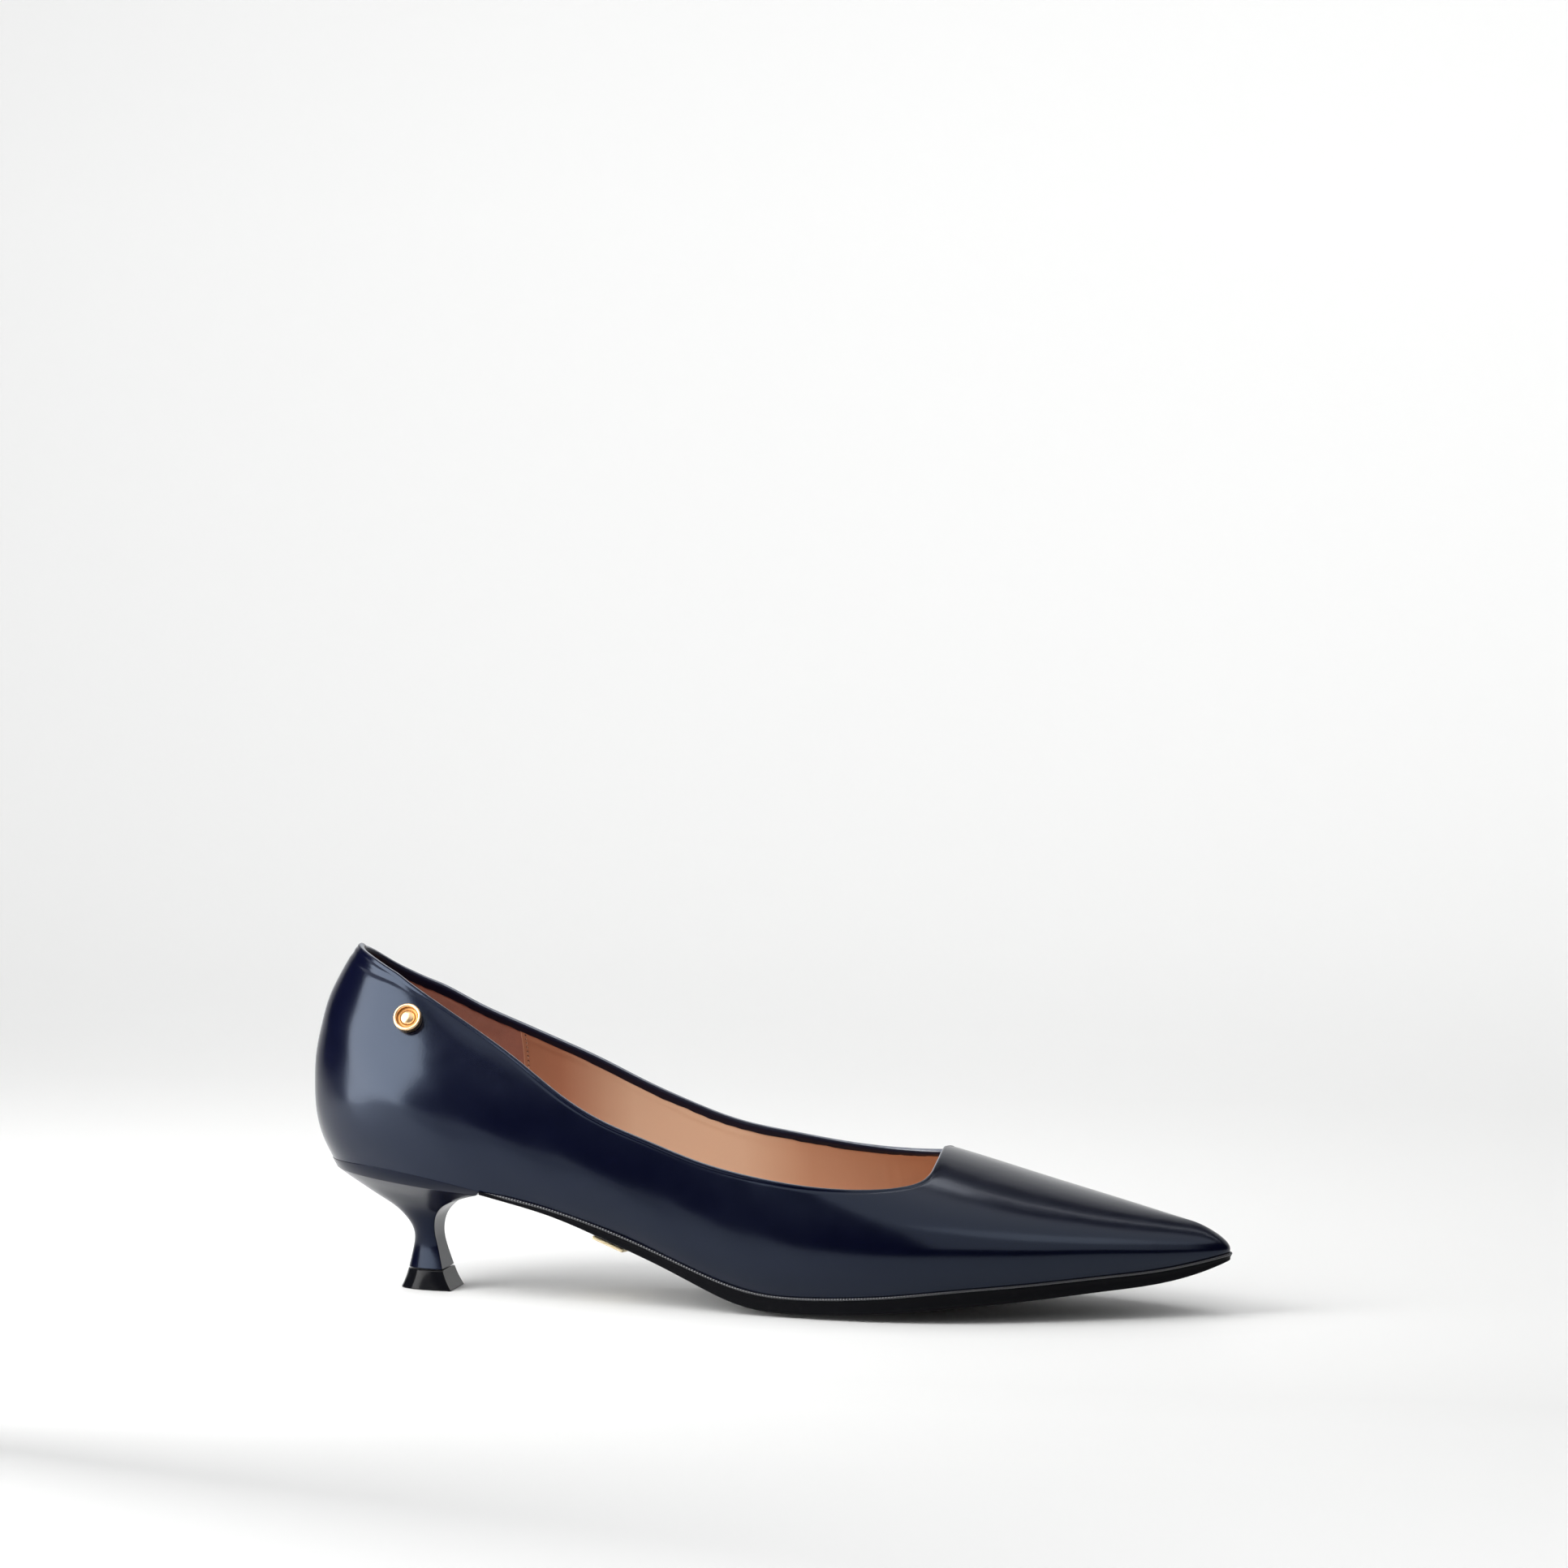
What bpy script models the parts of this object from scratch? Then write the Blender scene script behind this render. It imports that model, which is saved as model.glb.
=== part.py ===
"""Kitten heel pump, right shoe, standing empty on its sole.

X runs from the heel to the toe, +Y to the inner side of the foot, Z up from the floor.
Every form follows the last: an outline in plan (the feather line, where upper and sole meet),
the height of that line above the floor, and the section of the upper above it.
"""
import math

import bmesh
import bpy
import numpy as np
from mathutils import Matrix, Vector

# Driving sizes, in metres
SOLE_LENGTH = 0.2560        # feather line, back of the seat to the toe tip
BALL_WIDTH = 0.0720         # feather line across the ball
HEEL_HEIGHT = 0.0374        # floor to the feather line at the back
TOP_HEIGHT = 0.0975         # floor to the top of the upper at the back

WALL = 0.0018               # leather with its lining
GAP = 0.0003                # between parts that touch

SOLE_EDGE = 0.0045          # deepest edge of the sole
SOLE_CROWN = 0.0036         # how far the waist of the sole swells below its edges
LAST_CROWN = 0.0014         # how far the bottom of the last swells below the feather line
LIP_DEPTH = 0.0009          # thin lip of the sole under the upper
LIP_REACH = 0.0005          # how far the lip stands out past the feather line
STEP_DEPTH = 0.0003         # groove under the lip
EDGE_ROUND = 0.0009         # rounding at the bottom of the edge
BODY_REACH = 0.00025        # how far the edge under the lip stands out past the feather line

INSOLE_THICKNESS = 0.0022
INSOLE_BEVEL = 0.0005

TIP_HEIGHT = 0.0056         # top piece of the heel

BADGE_RADIUS = 0.0040
BADGE_HEIGHT = 0.0026
PLATE_LENGTH = 0.0088
PLATE_WIDTH = 0.0130
PLATE_THICKNESS = 0.0010

# Plan of the feather line. along: share of the sole length.
# outer, inner: half widths either side of the heel to toe axis, shares of the ball width.
PLAN = (
    # along, outer, inner
    (0.03, 0.203, 0.203),
    (0.07, 0.286, 0.283),
    (0.12, 0.339, 0.333),
    (0.18, 0.361, 0.350),
    (0.26, 0.364, 0.328),
    (0.36, 0.375, 0.283),
    (0.46, 0.419, 0.283),
    (0.55, 0.481, 0.350),
    (0.62, 0.517, 0.425),
    (0.68, 0.519, 0.472),
    (0.74, 0.483, 0.472),
    (0.82, 0.383, 0.394),
    (0.90, 0.244, 0.258),
    (0.95, 0.144, 0.153),
    (0.98, 0.083, 0.086),
)

# Height of the feather line. feather: share of the heel height.
BOTTOM = (
    # along, feather
    (0.00, 1.000),
    (0.08, 0.979),
    (0.14, 0.918),
    (0.20, 0.832),
    (0.27, 0.722),
    (0.33, 0.594),
    (0.385, 0.452),
    (0.43, 0.326),
    (0.47, 0.227),
    (0.51, 0.166),
    (0.55, 0.151),
    (0.60, 0.163),
    (0.66, 0.195),
    (0.72, 0.239),
    (0.80, 0.283),
    (0.88, 0.328),
    (0.94, 0.366),
    (1.00, 0.448),
)

# Edge of the sole. depth: share of the deepest edge. crown: share of the sole crown.
EDGE = (
    # along, depth, crown
    (0.19, 0.20, 0.00),
    (0.24, 0.29, 0.55),
    (0.29, 0.42, 0.95),
    (0.34, 0.62, 1.00),
    (0.40, 0.73, 0.95),
    (0.44, 0.84, 0.85),
    (0.48, 0.98, 0.70),
    (0.54, 0.96, 0.62),
    (0.60, 0.98, 0.62),
    (0.66, 1.00, 0.62),
    (0.72, 1.03, 0.55),
    (0.80, 0.96, 0.45),
    (0.88, 0.87, 0.32),
    (0.95, 0.75, 0.18),
    (0.98, 0.58, 0.08),
    (1.00, 0.38, 0.00),
)

# Section of the upper. swell: how far it stands out past the feather line, share of the ball
# width. girth: height of the widest line above the feather line, share of the top height.
# crest: height of the last's ridge above the floor, share of the top height.
# pinch: how much the section draws in below the ridge. ridge: sideways place of the ridge.
SECTION = (
    # along, swell_outer, swell_inner, girth, crest, pinch_outer, pinch_inner, ridge
    (0.00, 0.072, 0.072, 0.206, 1.370, 0.42, 0.42, 0.000),
    (0.07, 0.058, 0.056, 0.208, 1.200, 0.44, 0.44, 0.000),
    (0.14, 0.050, 0.051, 0.190, 1.020, 0.40, 0.40, 0.000),
    (0.22, 0.050, 0.060, 0.165, 0.875, 0.20, 0.12, 0.004),
    (0.33, 0.056, 0.083, 0.145, 0.760, 0.10, -0.06, 0.014),
    (0.44, 0.053, 0.083, 0.142, 0.680, 0.00, -0.08, 0.028),
    (0.54, 0.048, 0.060, 0.135, 0.585, 0.04, 0.02, 0.038),
    (0.62, 0.043, 0.044, 0.118, 0.500, 0.13, 0.11, 0.040),
    (0.69, 0.038, 0.036, 0.105, 0.449, 0.18, 0.16, 0.038),
    (0.78, 0.030, 0.029, 0.085, 0.383, 0.18, 0.16, 0.030),
    (0.88, 0.022, 0.022, 0.062, 0.313, 0.14, 0.13, 0.018),
    (0.95, 0.016, 0.016, 0.038, 0.266, 0.08, 0.08, 0.008),
    (1.00, 0.003, 0.003, 0.011, 0.234, 0.05, 0.05, 0.000),
)

# Topline. outer, inner: height above the floor, share of the top height.
TOPLINE = (
    # along, outer, inner
    (0.026, 1.004, 1.002),
    (0.045, 0.985, 0.950),
    (0.075, 0.949, 0.894),
    (0.100, 0.912, 0.872),
    (0.140, 0.848, 0.820),
    (0.190, 0.768, 0.762),
    (0.235, 0.692, 0.712),
    (0.285, 0.600, 0.655),
    (0.330, 0.535, 0.597),
    (0.380, 0.484, 0.541),
    (0.440, 0.429, 0.486),
    (0.500, 0.393, 0.456),
    (0.560, 0.372, 0.431),
    (0.620, 0.364, 0.418),
    (0.700, 0.372, 0.420),
)

# Throat. Lines up the upper stand at foot and lean to reach as they near the throat.
# across: share of the way from the side's topline over to the ridge.
THROAT = (
    # foot, reach, across
    (0.560, 0.5600, 0.00),
    (0.590, 0.6050, 0.00),
    (0.612, 0.6400, 0.005),
    (0.632, 0.6680, 0.035),
    (0.650, 0.6830, 0.125),
    (0.666, 0.6885, 0.30),
    (0.681, 0.6892, 0.57),
    (0.695, 0.6868, 1.00),
    (0.712, 0.6975, 1.00),
    (0.732, 0.7205, 1.00),
    (0.758, 0.7520, 1.00),
    (0.790, 0.7890, 1.00),
    (0.830, 0.8300, 1.00),
)

# Heel, from below its seat down to the top piece. back, front: shares of the sole length.
# back_level, front_level: shares of the height from the top piece to the feather line.
# width: half width at the breast, share of the ball width.
# seat: share of the seat's own outline, the rest is the oval of the neck.
HEEL = (
    # back, back_level, front, front_level, width, seat
    (0.0090, 0.911, 0.1850, 0.751, 0.322, 1.00),
    (0.0175, 0.840, 0.1690, 0.712, 0.272, 0.90),
    (0.0310, 0.754, 0.1520, 0.659, 0.214, 0.70),
    (0.0500, 0.652, 0.1370, 0.599, 0.160, 0.40),
    (0.0680, 0.558, 0.1275, 0.538, 0.120, 0.15),
    (0.0805, 0.466, 0.1218, 0.466, 0.094, 0.00),
    (0.0885, 0.377, 0.1196, 0.377, 0.078, 0.00),
    (0.0915, 0.288, 0.1202, 0.288, 0.069, 0.00),
    (0.0905, 0.199, 0.1227, 0.199, 0.068, 0.00),
    (0.0880, 0.104, 0.1258, 0.104, 0.076, 0.00),
    (0.0850, 0.000, 0.1292, 0.000, 0.088, 0.00),
)
SEAT_RIM = (0.0050, 0.1930, 0.345)  # back, front and half width of the heel under the upper

# Top piece, from its joint with the heel down to the floor. level: share of its own height.
TIP = (
    # back, front, width, level
    (0.0845, 0.1297, 0.0900, 1.00),
    (0.0810, 0.1338, 0.0955, 0.50),
    (0.0760, 0.1398, 0.1005, 0.00),
)

# Badge, from its back round its rim to the middle. radius: share of the badge radius.
# height: share of the badge height.
BADGE_PROFILE = (
    # radius, height
    (0.90, 0.00),
    (0.97, 0.08),
    (1.00, 0.30),
    (1.00, 0.78),
    (0.96, 0.94),
    (0.88, 1.00),
    (0.79, 0.94),
    (0.75, 0.78),
    (0.73, 0.58),
    (0.56, 0.55),
    (0.50, 0.70),
    (0.38, 0.84),
    (0.20, 0.91),
    (0.06, 0.93),
)

# Places on the last
SHANK_END = 0.195           # front edge of the heel, share of the sole length
HEEL_CENTRE = 0.150         # where the fan of lines round the heel has its centre
FAN_BLEND = 0.050           # how softly that fan gives way to square sections
TOE_LAG = 0.043             # how far the ridge stops short of the toe tip
TOE_LAG_START = 0.800
GIRTH_RISE = 0.25           # share of a line's run that lies below the widest line
BADGE_PLACE = (0.1025, 0.804)    # share of the sole length, share of the top height
PLATE_PLACE = (0.321, -0.105)   # share of the length, share of the ball width to the side
LIP_SHARE = 0.33            # most of a thin edge's depth that the lip may take
CORNER_SHARE = 0.30         # how far in the middle of a rounded corner lies, of its rounding

# Fineness
HEEL_LINES = 24             # lines up each side of the upper, behind the throat
THROAT_LINES = 11           # lines up each side to the throat's curve
TOE_LINES = 17              # lines up each side, ahead of the throat
WALL_ROWS = 9               # faces from the feather line to the topline or the ridge
SOLE_STATIONS = 40          # stations along the sole and the insole
CROSS_STEPS = 10            # faces across them
NECK_ARC = 13               # points from the back of the heel round to its breast
BADGE_STEPS = 40
PLATE_STEPS = 4

OUTER = -1
INNER = 1


def smooth(rows, column):
    """Natural cubic curve through one column of a table, against its first column."""
    knots = np.array([row[0] for row in rows])
    values = np.array([row[column] for row in rows])
    steps = np.diff(knots)
    slopes = np.diff(values) / steps
    size = len(knots)
    system = np.eye(size)
    target = np.zeros(size)
    for i in range(1, size - 1):
        system[i, i - 1:i + 2] = (steps[i - 1], 2 * (steps[i - 1] + steps[i]), steps[i])
        target[i] = 6 * (slopes[i] - slopes[i - 1])
    bends = np.linalg.solve(system, target)

    def curve(at):
        at = np.clip(at, knots[0], knots[-1])
        i = np.clip(np.searchsorted(knots, at, side="right") - 1, 0, size - 2)
        step = steps[i]
        low = (knots[i + 1] - at) / step
        high = (at - knots[i]) / step
        return (low * values[i] + high * values[i + 1]
                + ((low ** 3 - low) * bends[i] + (high ** 3 - high) * bends[i + 1]) * step ** 2 / 6)
    return curve


def steady(rows, column):
    """Curve through one column of a table that never overshoots its rows."""
    knots = np.array([row[0] for row in rows])
    values = np.array([row[column] for row in rows])
    steps = np.diff(knots)
    slopes = np.diff(values) / steps
    tangents = np.zeros(len(knots))
    for i in range(1, len(knots) - 1):
        if slopes[i - 1] * slopes[i] > 0:
            tangents[i] = 2 * slopes[i - 1] * slopes[i] / (slopes[i - 1] + slopes[i])
    tangents[0] = slopes[0]
    tangents[-1] = slopes[-1]

    def curve(at):
        at = np.clip(at, knots[0], knots[-1])
        i = np.clip(np.searchsorted(knots, at, side="right") - 1, 0, len(knots) - 2)
        step = steps[i]
        t = (at - knots[i]) / step
        return ((1 + 2 * t) * (1 - t) ** 2 * values[i] + t * (1 - t) ** 2 * step * tangents[i]
                + t ** 2 * (3 - 2 * t) * values[i + 1] - t ** 2 * (1 - t) * step * tangents[i + 1])
    return curve


def turn_of(along):
    """Angle that runs 0 at the back to pi at the toe tip for a share of the length."""
    return math.acos(1 - 2 * min(max(along, 0.0), 1.0))


def along_of(turn):
    return (1 - np.cos(turn)) / 2


def outline_curve():
    """The feather line as one closed smooth curve of the turn, outer side negative."""
    rows = [(-turn_of(along), -outer) for along, outer, inner in reversed(PLAN)]
    rows += [(0.0, 0.0)]
    rows += [(turn_of(along), inner) for along, outer, inner in PLAN]
    rows = [(-math.pi, 0.0)] + rows + [(math.pi, 0.0)]
    lap = 2 * math.pi
    before = [(turn - lap, offset) for turn, offset in rows[:-1]]
    after = [(turn + lap, offset) for turn, offset in rows[1:]]
    return smooth(before + rows + after, 1)


OUTLINE = outline_curve()
FEATHER = smooth(BOTTOM, 1)
EDGE_DEPTH = smooth(EDGE, 1)
EDGE_CROWN = smooth(EDGE, 2)
SWELL = {OUTER: smooth(SECTION, 1), INNER: smooth(SECTION, 2)}
GIRTH = smooth(SECTION, 3)
CREST = smooth(SECTION, 4)
PINCH = {OUTER: smooth(SECTION, 5), INNER: smooth(SECTION, 6)}
RIDGE = smooth(SECTION, 7)
TOP = {OUTER: smooth(TOPLINE, 1), INNER: smooth(TOPLINE, 2)}
REACH = steady(THROAT, 1)
ACROSS = steady(THROAT, 2)


def feather_height(along):
    return HEEL_HEIGHT * FEATHER(along)


def plan_point(turn, side):
    """Feather line in plan, from the back of the seat."""
    return np.array([SOLE_LENGTH * along_of(turn), BALL_WIDTH * OUTLINE(side * turn)])


def plan_normal(turn, side):
    """Direction straight out from the feather line in plan."""
    step = 1e-4
    ahead = plan_point(turn + step, side)
    behind = plan_point(turn - step, side)
    run = ahead - behind
    out = np.array([-run[1], run[0]]) * side
    return out / np.linalg.norm(out)


def ridge_place(turn):
    """Plan place on the last's ridge that a line up the upper leans towards."""
    along = along_of(turn)
    past = along - HEEL_CENTRE
    centre = HEEL_CENTRE + (past + math.sqrt(past ** 2 + FAN_BLEND ** 2)) / 2
    late = max(0.0, along - TOE_LAG_START) / (1 - TOE_LAG_START)
    front = 1 - HEEL_CENTRE
    settle = (math.sqrt(front ** 2 + FAN_BLEND ** 2) - front) / 2
    centre -= TOE_LAG * late ** 2 + settle * along
    return np.array([SOLE_LENGTH * centre, BALL_WIDTH * RIDGE(centre)])


def last_point(turn, side, rise):
    """Outer skin of the upper. rise: 0 at the feather line, 1 at the ridge."""
    along = along_of(turn)
    foot = plan_point(turn, side)
    swell = BALL_WIDTH * SWELL[side](along)
    wide = foot + plan_normal(turn, side) * swell
    feather = feather_height(along)
    girth = TOP_HEIGHT * GIRTH(along)
    girth_height = feather + girth
    ridge = ridge_place(turn)
    span = np.linalg.norm(wide - ridge)
    pinch = PINCH[side](along)
    if rise < GIRTH_RISE:
        share = rise / GIRTH_RISE
        above = TOP_HEIGHT * CREST(along) - girth_height
        match = span * (1 + 2 * pinch) / above ** 2 * girth ** 2 / (2 * swell)
        match = min(max(match, 0.0), 1.0)
        left = 1 - share
        lean = 1 - match * left ** 2 - (1 - match) * left ** 3
        place = foot + (wide - foot) * lean
        return np.array([place[0], place[1], feather + girth * share])
    angle = (rise - GIRTH_RISE) / (1 - GIRTH_RISE) * math.pi / 2
    reach = math.cos(angle) * (1 - pinch * math.sin(angle) ** 2)
    place = ridge + (wide - ridge) * reach
    crest = TOP_HEIGHT * CREST(place[0] / SOLE_LENGTH)
    return np.array([place[0], place[1],
                     girth_height + (crest - girth_height) * math.sin(angle)])


def last_normal(turn, side, rise):
    """Direction straight out from the outer skin."""
    step = 1e-3
    rise = min(rise, 1 - 2 * step)
    low = max(rise - step, 0.0)
    up = last_point(turn, side, rise + step) - last_point(turn, side, low)
    fore = last_point(turn + step, side, rise) - last_point(turn - step, side, rise)
    out = np.cross(fore, up) * -side
    return out / np.linalg.norm(out)


def rise_at(turn, side, level):
    """How far up a line it reaches a level, given as a share of the top height along the shoe."""
    low = GIRTH_RISE
    high = 1.0
    for _ in range(40):
        middle = (low + high) / 2
        point = last_point(turn, side, middle)
        if point[2] < TOP_HEIGHT * level(point[0] / SOLE_LENGTH):
            low = middle
        else:
            high = middle
    return (low + high) / 2


def upper_line(turn, side):
    """Turn and rise at the top end of the line that stands at this turn."""
    along = float(along_of(turn))
    if along < THROAT[0][0]:
        return turn, rise_at(turn, side, TOP[side])
    if along > THROAT[-1][0]:
        return turn, 1.0
    reach = turn_of(float(REACH(along)))
    across = float(ACROSS(along))
    if across > 1 - 1e-9:
        return reach, 1.0
    level = rise_at(reach, side, TOP[side])
    return reach, level + (1 - level) * across


def upper_turns():
    """Turns of the lines up one side, close together where they run up to the throat."""
    corner = turn_of(THROAT[1][0])
    middle = turn_of(next(foot for foot, reach, across in THROAT if across >= 1.0))
    behind = np.linspace(0.0, corner, HEEL_LINES + 1)
    throat = np.linspace(corner, middle, THROAT_LINES + 1)
    ahead = np.linspace(middle, math.pi, TOE_LINES + 1)
    return [*behind, *throat[1:], *ahead[1:]], HEEL_LINES + THROAT_LINES


def new_object(name, verts, faces, material):
    """One closed body facing out."""
    bm = bmesh.new()
    made = [bm.verts.new(point) for point in verts]
    for face in faces:
        loop = [made[i] for n, i in enumerate(face) if i != face[n - 1]]
        if len(loop) > 2:
            bm.faces.new(loop)
    bmesh.ops.remove_doubles(bm, verts=bm.verts, dist=1e-6)
    bmesh.ops.triangulate(bm, faces=bm.faces, quad_method="SHORT_EDGE")
    bmesh.ops.recalc_face_normals(bm, faces=bm.faces)
    if bm.calc_volume(signed=True) < 0:
        bmesh.ops.reverse_faces(bm, faces=bm.faces)
    mesh = bpy.data.meshes.new(name)
    bm.to_mesh(mesh)
    bm.free()
    for face in mesh.polygons:
        face.use_smooth = True
    mesh.set_sharp_from_angle(angle=math.radians(32))
    mesh.materials.append(material)
    item = bpy.data.objects.new(name, mesh)
    bpy.context.scene.collection.objects.link(item)
    return item


def new_material(name, colour, roughness, metallic):
    material = bpy.data.materials.new(name)
    material.use_nodes = True
    shader = material.node_tree.nodes["Principled BSDF"]
    shader.inputs["Base Color"].default_value = (*colour, 1.0)
    shader.inputs["Roughness"].default_value = roughness
    shader.inputs["Metallic"].default_value = metallic
    material.diffuse_color = (*colour, 1.0)
    return material


def build_upper(material):
    """Upper: one wall of even thickness round the last, open at the topline and underneath."""
    turns, throat = upper_turns()
    lines = [(turn, OUTER) for turn in turns]
    lines += [(turn, INNER) for turn in reversed(turns[1:-1])]
    verts = []
    outer_grid = []
    inner_grid = []
    for turn, side in lines:
        end_turn, end_rise = upper_line(turn, side)
        outer_column = []
        inner_column = []
        for row in range(WALL_ROWS + 1):
            share = row / WALL_ROWS
            at = turn + (end_turn - turn) * share ** 2
            rise = end_rise * share
            point = last_point(at, side, rise)
            if row == 0:
                out = np.append(plan_normal(turn, side), 0.0)
            else:
                out = last_normal(at, side, rise)
            if end_rise == 1.0 and row == WALL_ROWS:
                out = last_normal(at, OUTER, rise) + last_normal(at, INNER, rise)
                out /= np.linalg.norm(out)
            outer_column.append(len(verts))
            verts.append(point)
            inner_column.append(len(verts))
            verts.append(point - WALL * out)
        outer_grid.append(outer_column)
        inner_grid.append(inner_column)
    count = len(lines)
    faces = []
    for i in range(count):
        j = (i + 1) % count
        for row in range(WALL_ROWS):
            for grid in (outer_grid, inner_grid):
                faces.append((grid[i][row], grid[j][row], grid[j][row + 1], grid[i][row + 1]))
        faces.append((outer_grid[i][0], outer_grid[j][0], inner_grid[j][0], inner_grid[i][0]))
        open_top = i < throat or i >= count - throat
        if open_top:
            faces.append((outer_grid[i][-1], outer_grid[j][-1],
                          inner_grid[j][-1], inner_grid[i][-1]))
    return new_object("upper", verts, faces, material)


def slab(name, turns, rim, cross_top, cross_bottom, material):
    """Closed body between two skins, with its rim given as rows from top to bottom.

    rim gives the points of one side of a station. cross_top and cross_bottom give the height
    of a skin between the two sides, from the height of its edge and its share of the way across.
    """
    verts = []
    tops = []
    bottoms = []
    sides = {OUTER: [], INNER: []}
    for turn in turns:
        ends = {}
        for side in (OUTER, INNER):
            rows = rim(turn, side)
            column = list(range(len(verts), len(verts) + len(rows)))
            verts += rows
            sides[side].append(column)
            ends[side] = rows
        for grid, row, height in ((tops, 0, cross_top), (bottoms, -1, cross_bottom)):
            line = [sides[OUTER][-1][row]]
            for step in range(1, CROSS_STEPS):
                share = step / CROSS_STEPS
                start = ends[OUTER][row]
                stop = ends[INNER][row]
                place = start + (stop - start) * share
                place[2] = height(along_of(turn), start[2], share)
                line.append(len(verts))
                verts.append(place)
            line.append(sides[INNER][-1][row])
            grid.append(line)
    faces = []
    for i in range(len(turns) - 1):
        for grid in (tops, bottoms):
            for step in range(CROSS_STEPS):
                faces.append((grid[i][step], grid[i + 1][step],
                              grid[i + 1][step + 1], grid[i][step + 1]))
        for side in (OUTER, INNER):
            column = sides[side]
            for row in range(len(column[0]) - 1):
                faces.append((column[i][row], column[i + 1][row],
                              column[i + 1][row + 1], column[i][row + 1]))
    if turns[0] > 0:
        for step in range(CROSS_STEPS):
            faces.append((tops[0][step], tops[0][step + 1],
                          bottoms[0][step + 1], bottoms[0][step]))
        for side in (OUTER, INNER):
            faces.append(tuple(sides[side][0]))
    return new_object(name, verts, faces, material)


def swell_across(share):
    """1 on the middle line and 0 at the two edges."""
    return 1 - (2 * share - 1) ** 2


def last_bottom(along, share):
    """Underside of the last between the feather lines."""
    return feather_height(along) - LAST_CROWN * swell_across(share)


def station_turns(start):
    """Turns of the stations from the one at the start to the toe tip."""
    return list(np.linspace(start, math.pi, SOLE_STATIONS + 1))


def square_normal(turn, side, start):
    """Direction straight out in plan, square to the axis at a cut end."""
    if turn <= start and start > 0:
        return np.array([0.0, float(side)])
    return plan_normal(turn, side)


def build_insole(material):
    """Insole board with its sock, between the walls of the upper."""
    inset = WALL + GAP

    def rim(turn, side):
        out = plan_normal(turn, side)
        base = plan_point(turn, side) - out * inset
        level = feather_height(along_of(turn))
        top = base - out * INSOLE_BEVEL
        return [np.array([*top, level + INSOLE_THICKNESS]),
                np.array([*base, level + INSOLE_THICKNESS - INSOLE_BEVEL]),
                np.array([*base, level])]

    def sag(along, edge, share):
        return edge - LAST_CROWN * swell_across(share)

    return slab("insole", station_turns(0.0), rim, sag, sag, material)


def sole_under(along, share):
    """Underside of the sole: crowned across, flat where it meets the floor."""
    edge = feather_height(along) - GAP - SOLE_EDGE * EDGE_DEPTH(along)
    low = edge - SOLE_CROWN * EDGE_CROWN(along) * swell_across(share)
    return max(low, 0.0)


def build_outsole(material):
    """Outsole from the front of the heel to the toe tip, its edge a lip over a deeper step."""
    start = turn_of(SHANK_END)

    def rim(turn, side):
        along = along_of(turn)
        out = square_normal(turn, side, start)
        base = plan_point(turn, side)
        top = feather_height(along) - GAP
        depth = SOLE_EDGE * EDGE_DEPTH(along)
        lip = min(LIP_DEPTH, depth * LIP_SHARE)
        step = STEP_DEPTH * lip / LIP_DEPTH
        rounding = min(EDGE_ROUND, EDGE_ROUND * depth / SOLE_EDGE)
        corner = rounding * CORNER_SHARE
        rows = ((LIP_REACH, 0.0), (LIP_REACH, lip), (BODY_REACH, lip + step),
                (BODY_REACH, depth - rounding), (BODY_REACH - corner, depth - corner),
                (BODY_REACH - rounding, depth))
        return [np.array([*(base + out * reach), max(top - drop, 0.0)]) for reach, drop in rows]

    def top(along, edge, share):
        return last_bottom(along, share) - GAP

    def bottom(along, edge, share):
        return sole_under(along, share)

    return slab("outsole", station_turns(start), rim, top, bottom, material)


def heel_turns():
    """Stations of the seat from the breast round to the back."""
    return np.linspace(turn_of(SHANK_END - GAP / SOLE_LENGTH), 0.0, NECK_ARC + 1)


def heel_ring(reach, seat, turns, level_of):
    """One ring of the heel, from the outer corner of the breast round to the inner one."""
    back, front, width = reach
    ring = []
    for side, order in ((OUTER, range(NECK_ARC + 1)), (INNER, range(NECK_ARC - 1, -1, -1))):
        corner = plan_point(turns[0], side)
        for step in order:
            rim = plan_point(turns[step], side)
            angle = math.pi / 2 * step / NECK_ARC
            run = seat * rim[0] / corner[0] + (1 - seat) * (1 - math.sin(angle))
            out = seat * rim[1] / corner[1] + (1 - seat) * math.cos(angle)
            x = SOLE_LENGTH * (back + (front - back) * run)
            ring.append(np.array([x, side * BALL_WIDTH * width * out, level_of(x, run)]))
    return ring


def stack(rings):
    """Vertices, sides and floor of a pile of rings, without the breast of its top step."""
    verts = [point for ring in rings for point in ring]
    count = len(rings[0])
    faces = []
    for number in range(len(rings) - 1):
        top = number * count
        for i in range(count - 1):
            faces.append((top + i, top + i + 1, top + count + i + 1, top + count + i))
    for number in range(1, len(rings) - 1):
        top = number * count
        faces.append((top + count - 1, top, top + count, top + 2 * count - 1))
    faces.append(tuple(range((len(rings) - 1) * count, len(rings) * count)))
    return verts, faces, count


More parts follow.
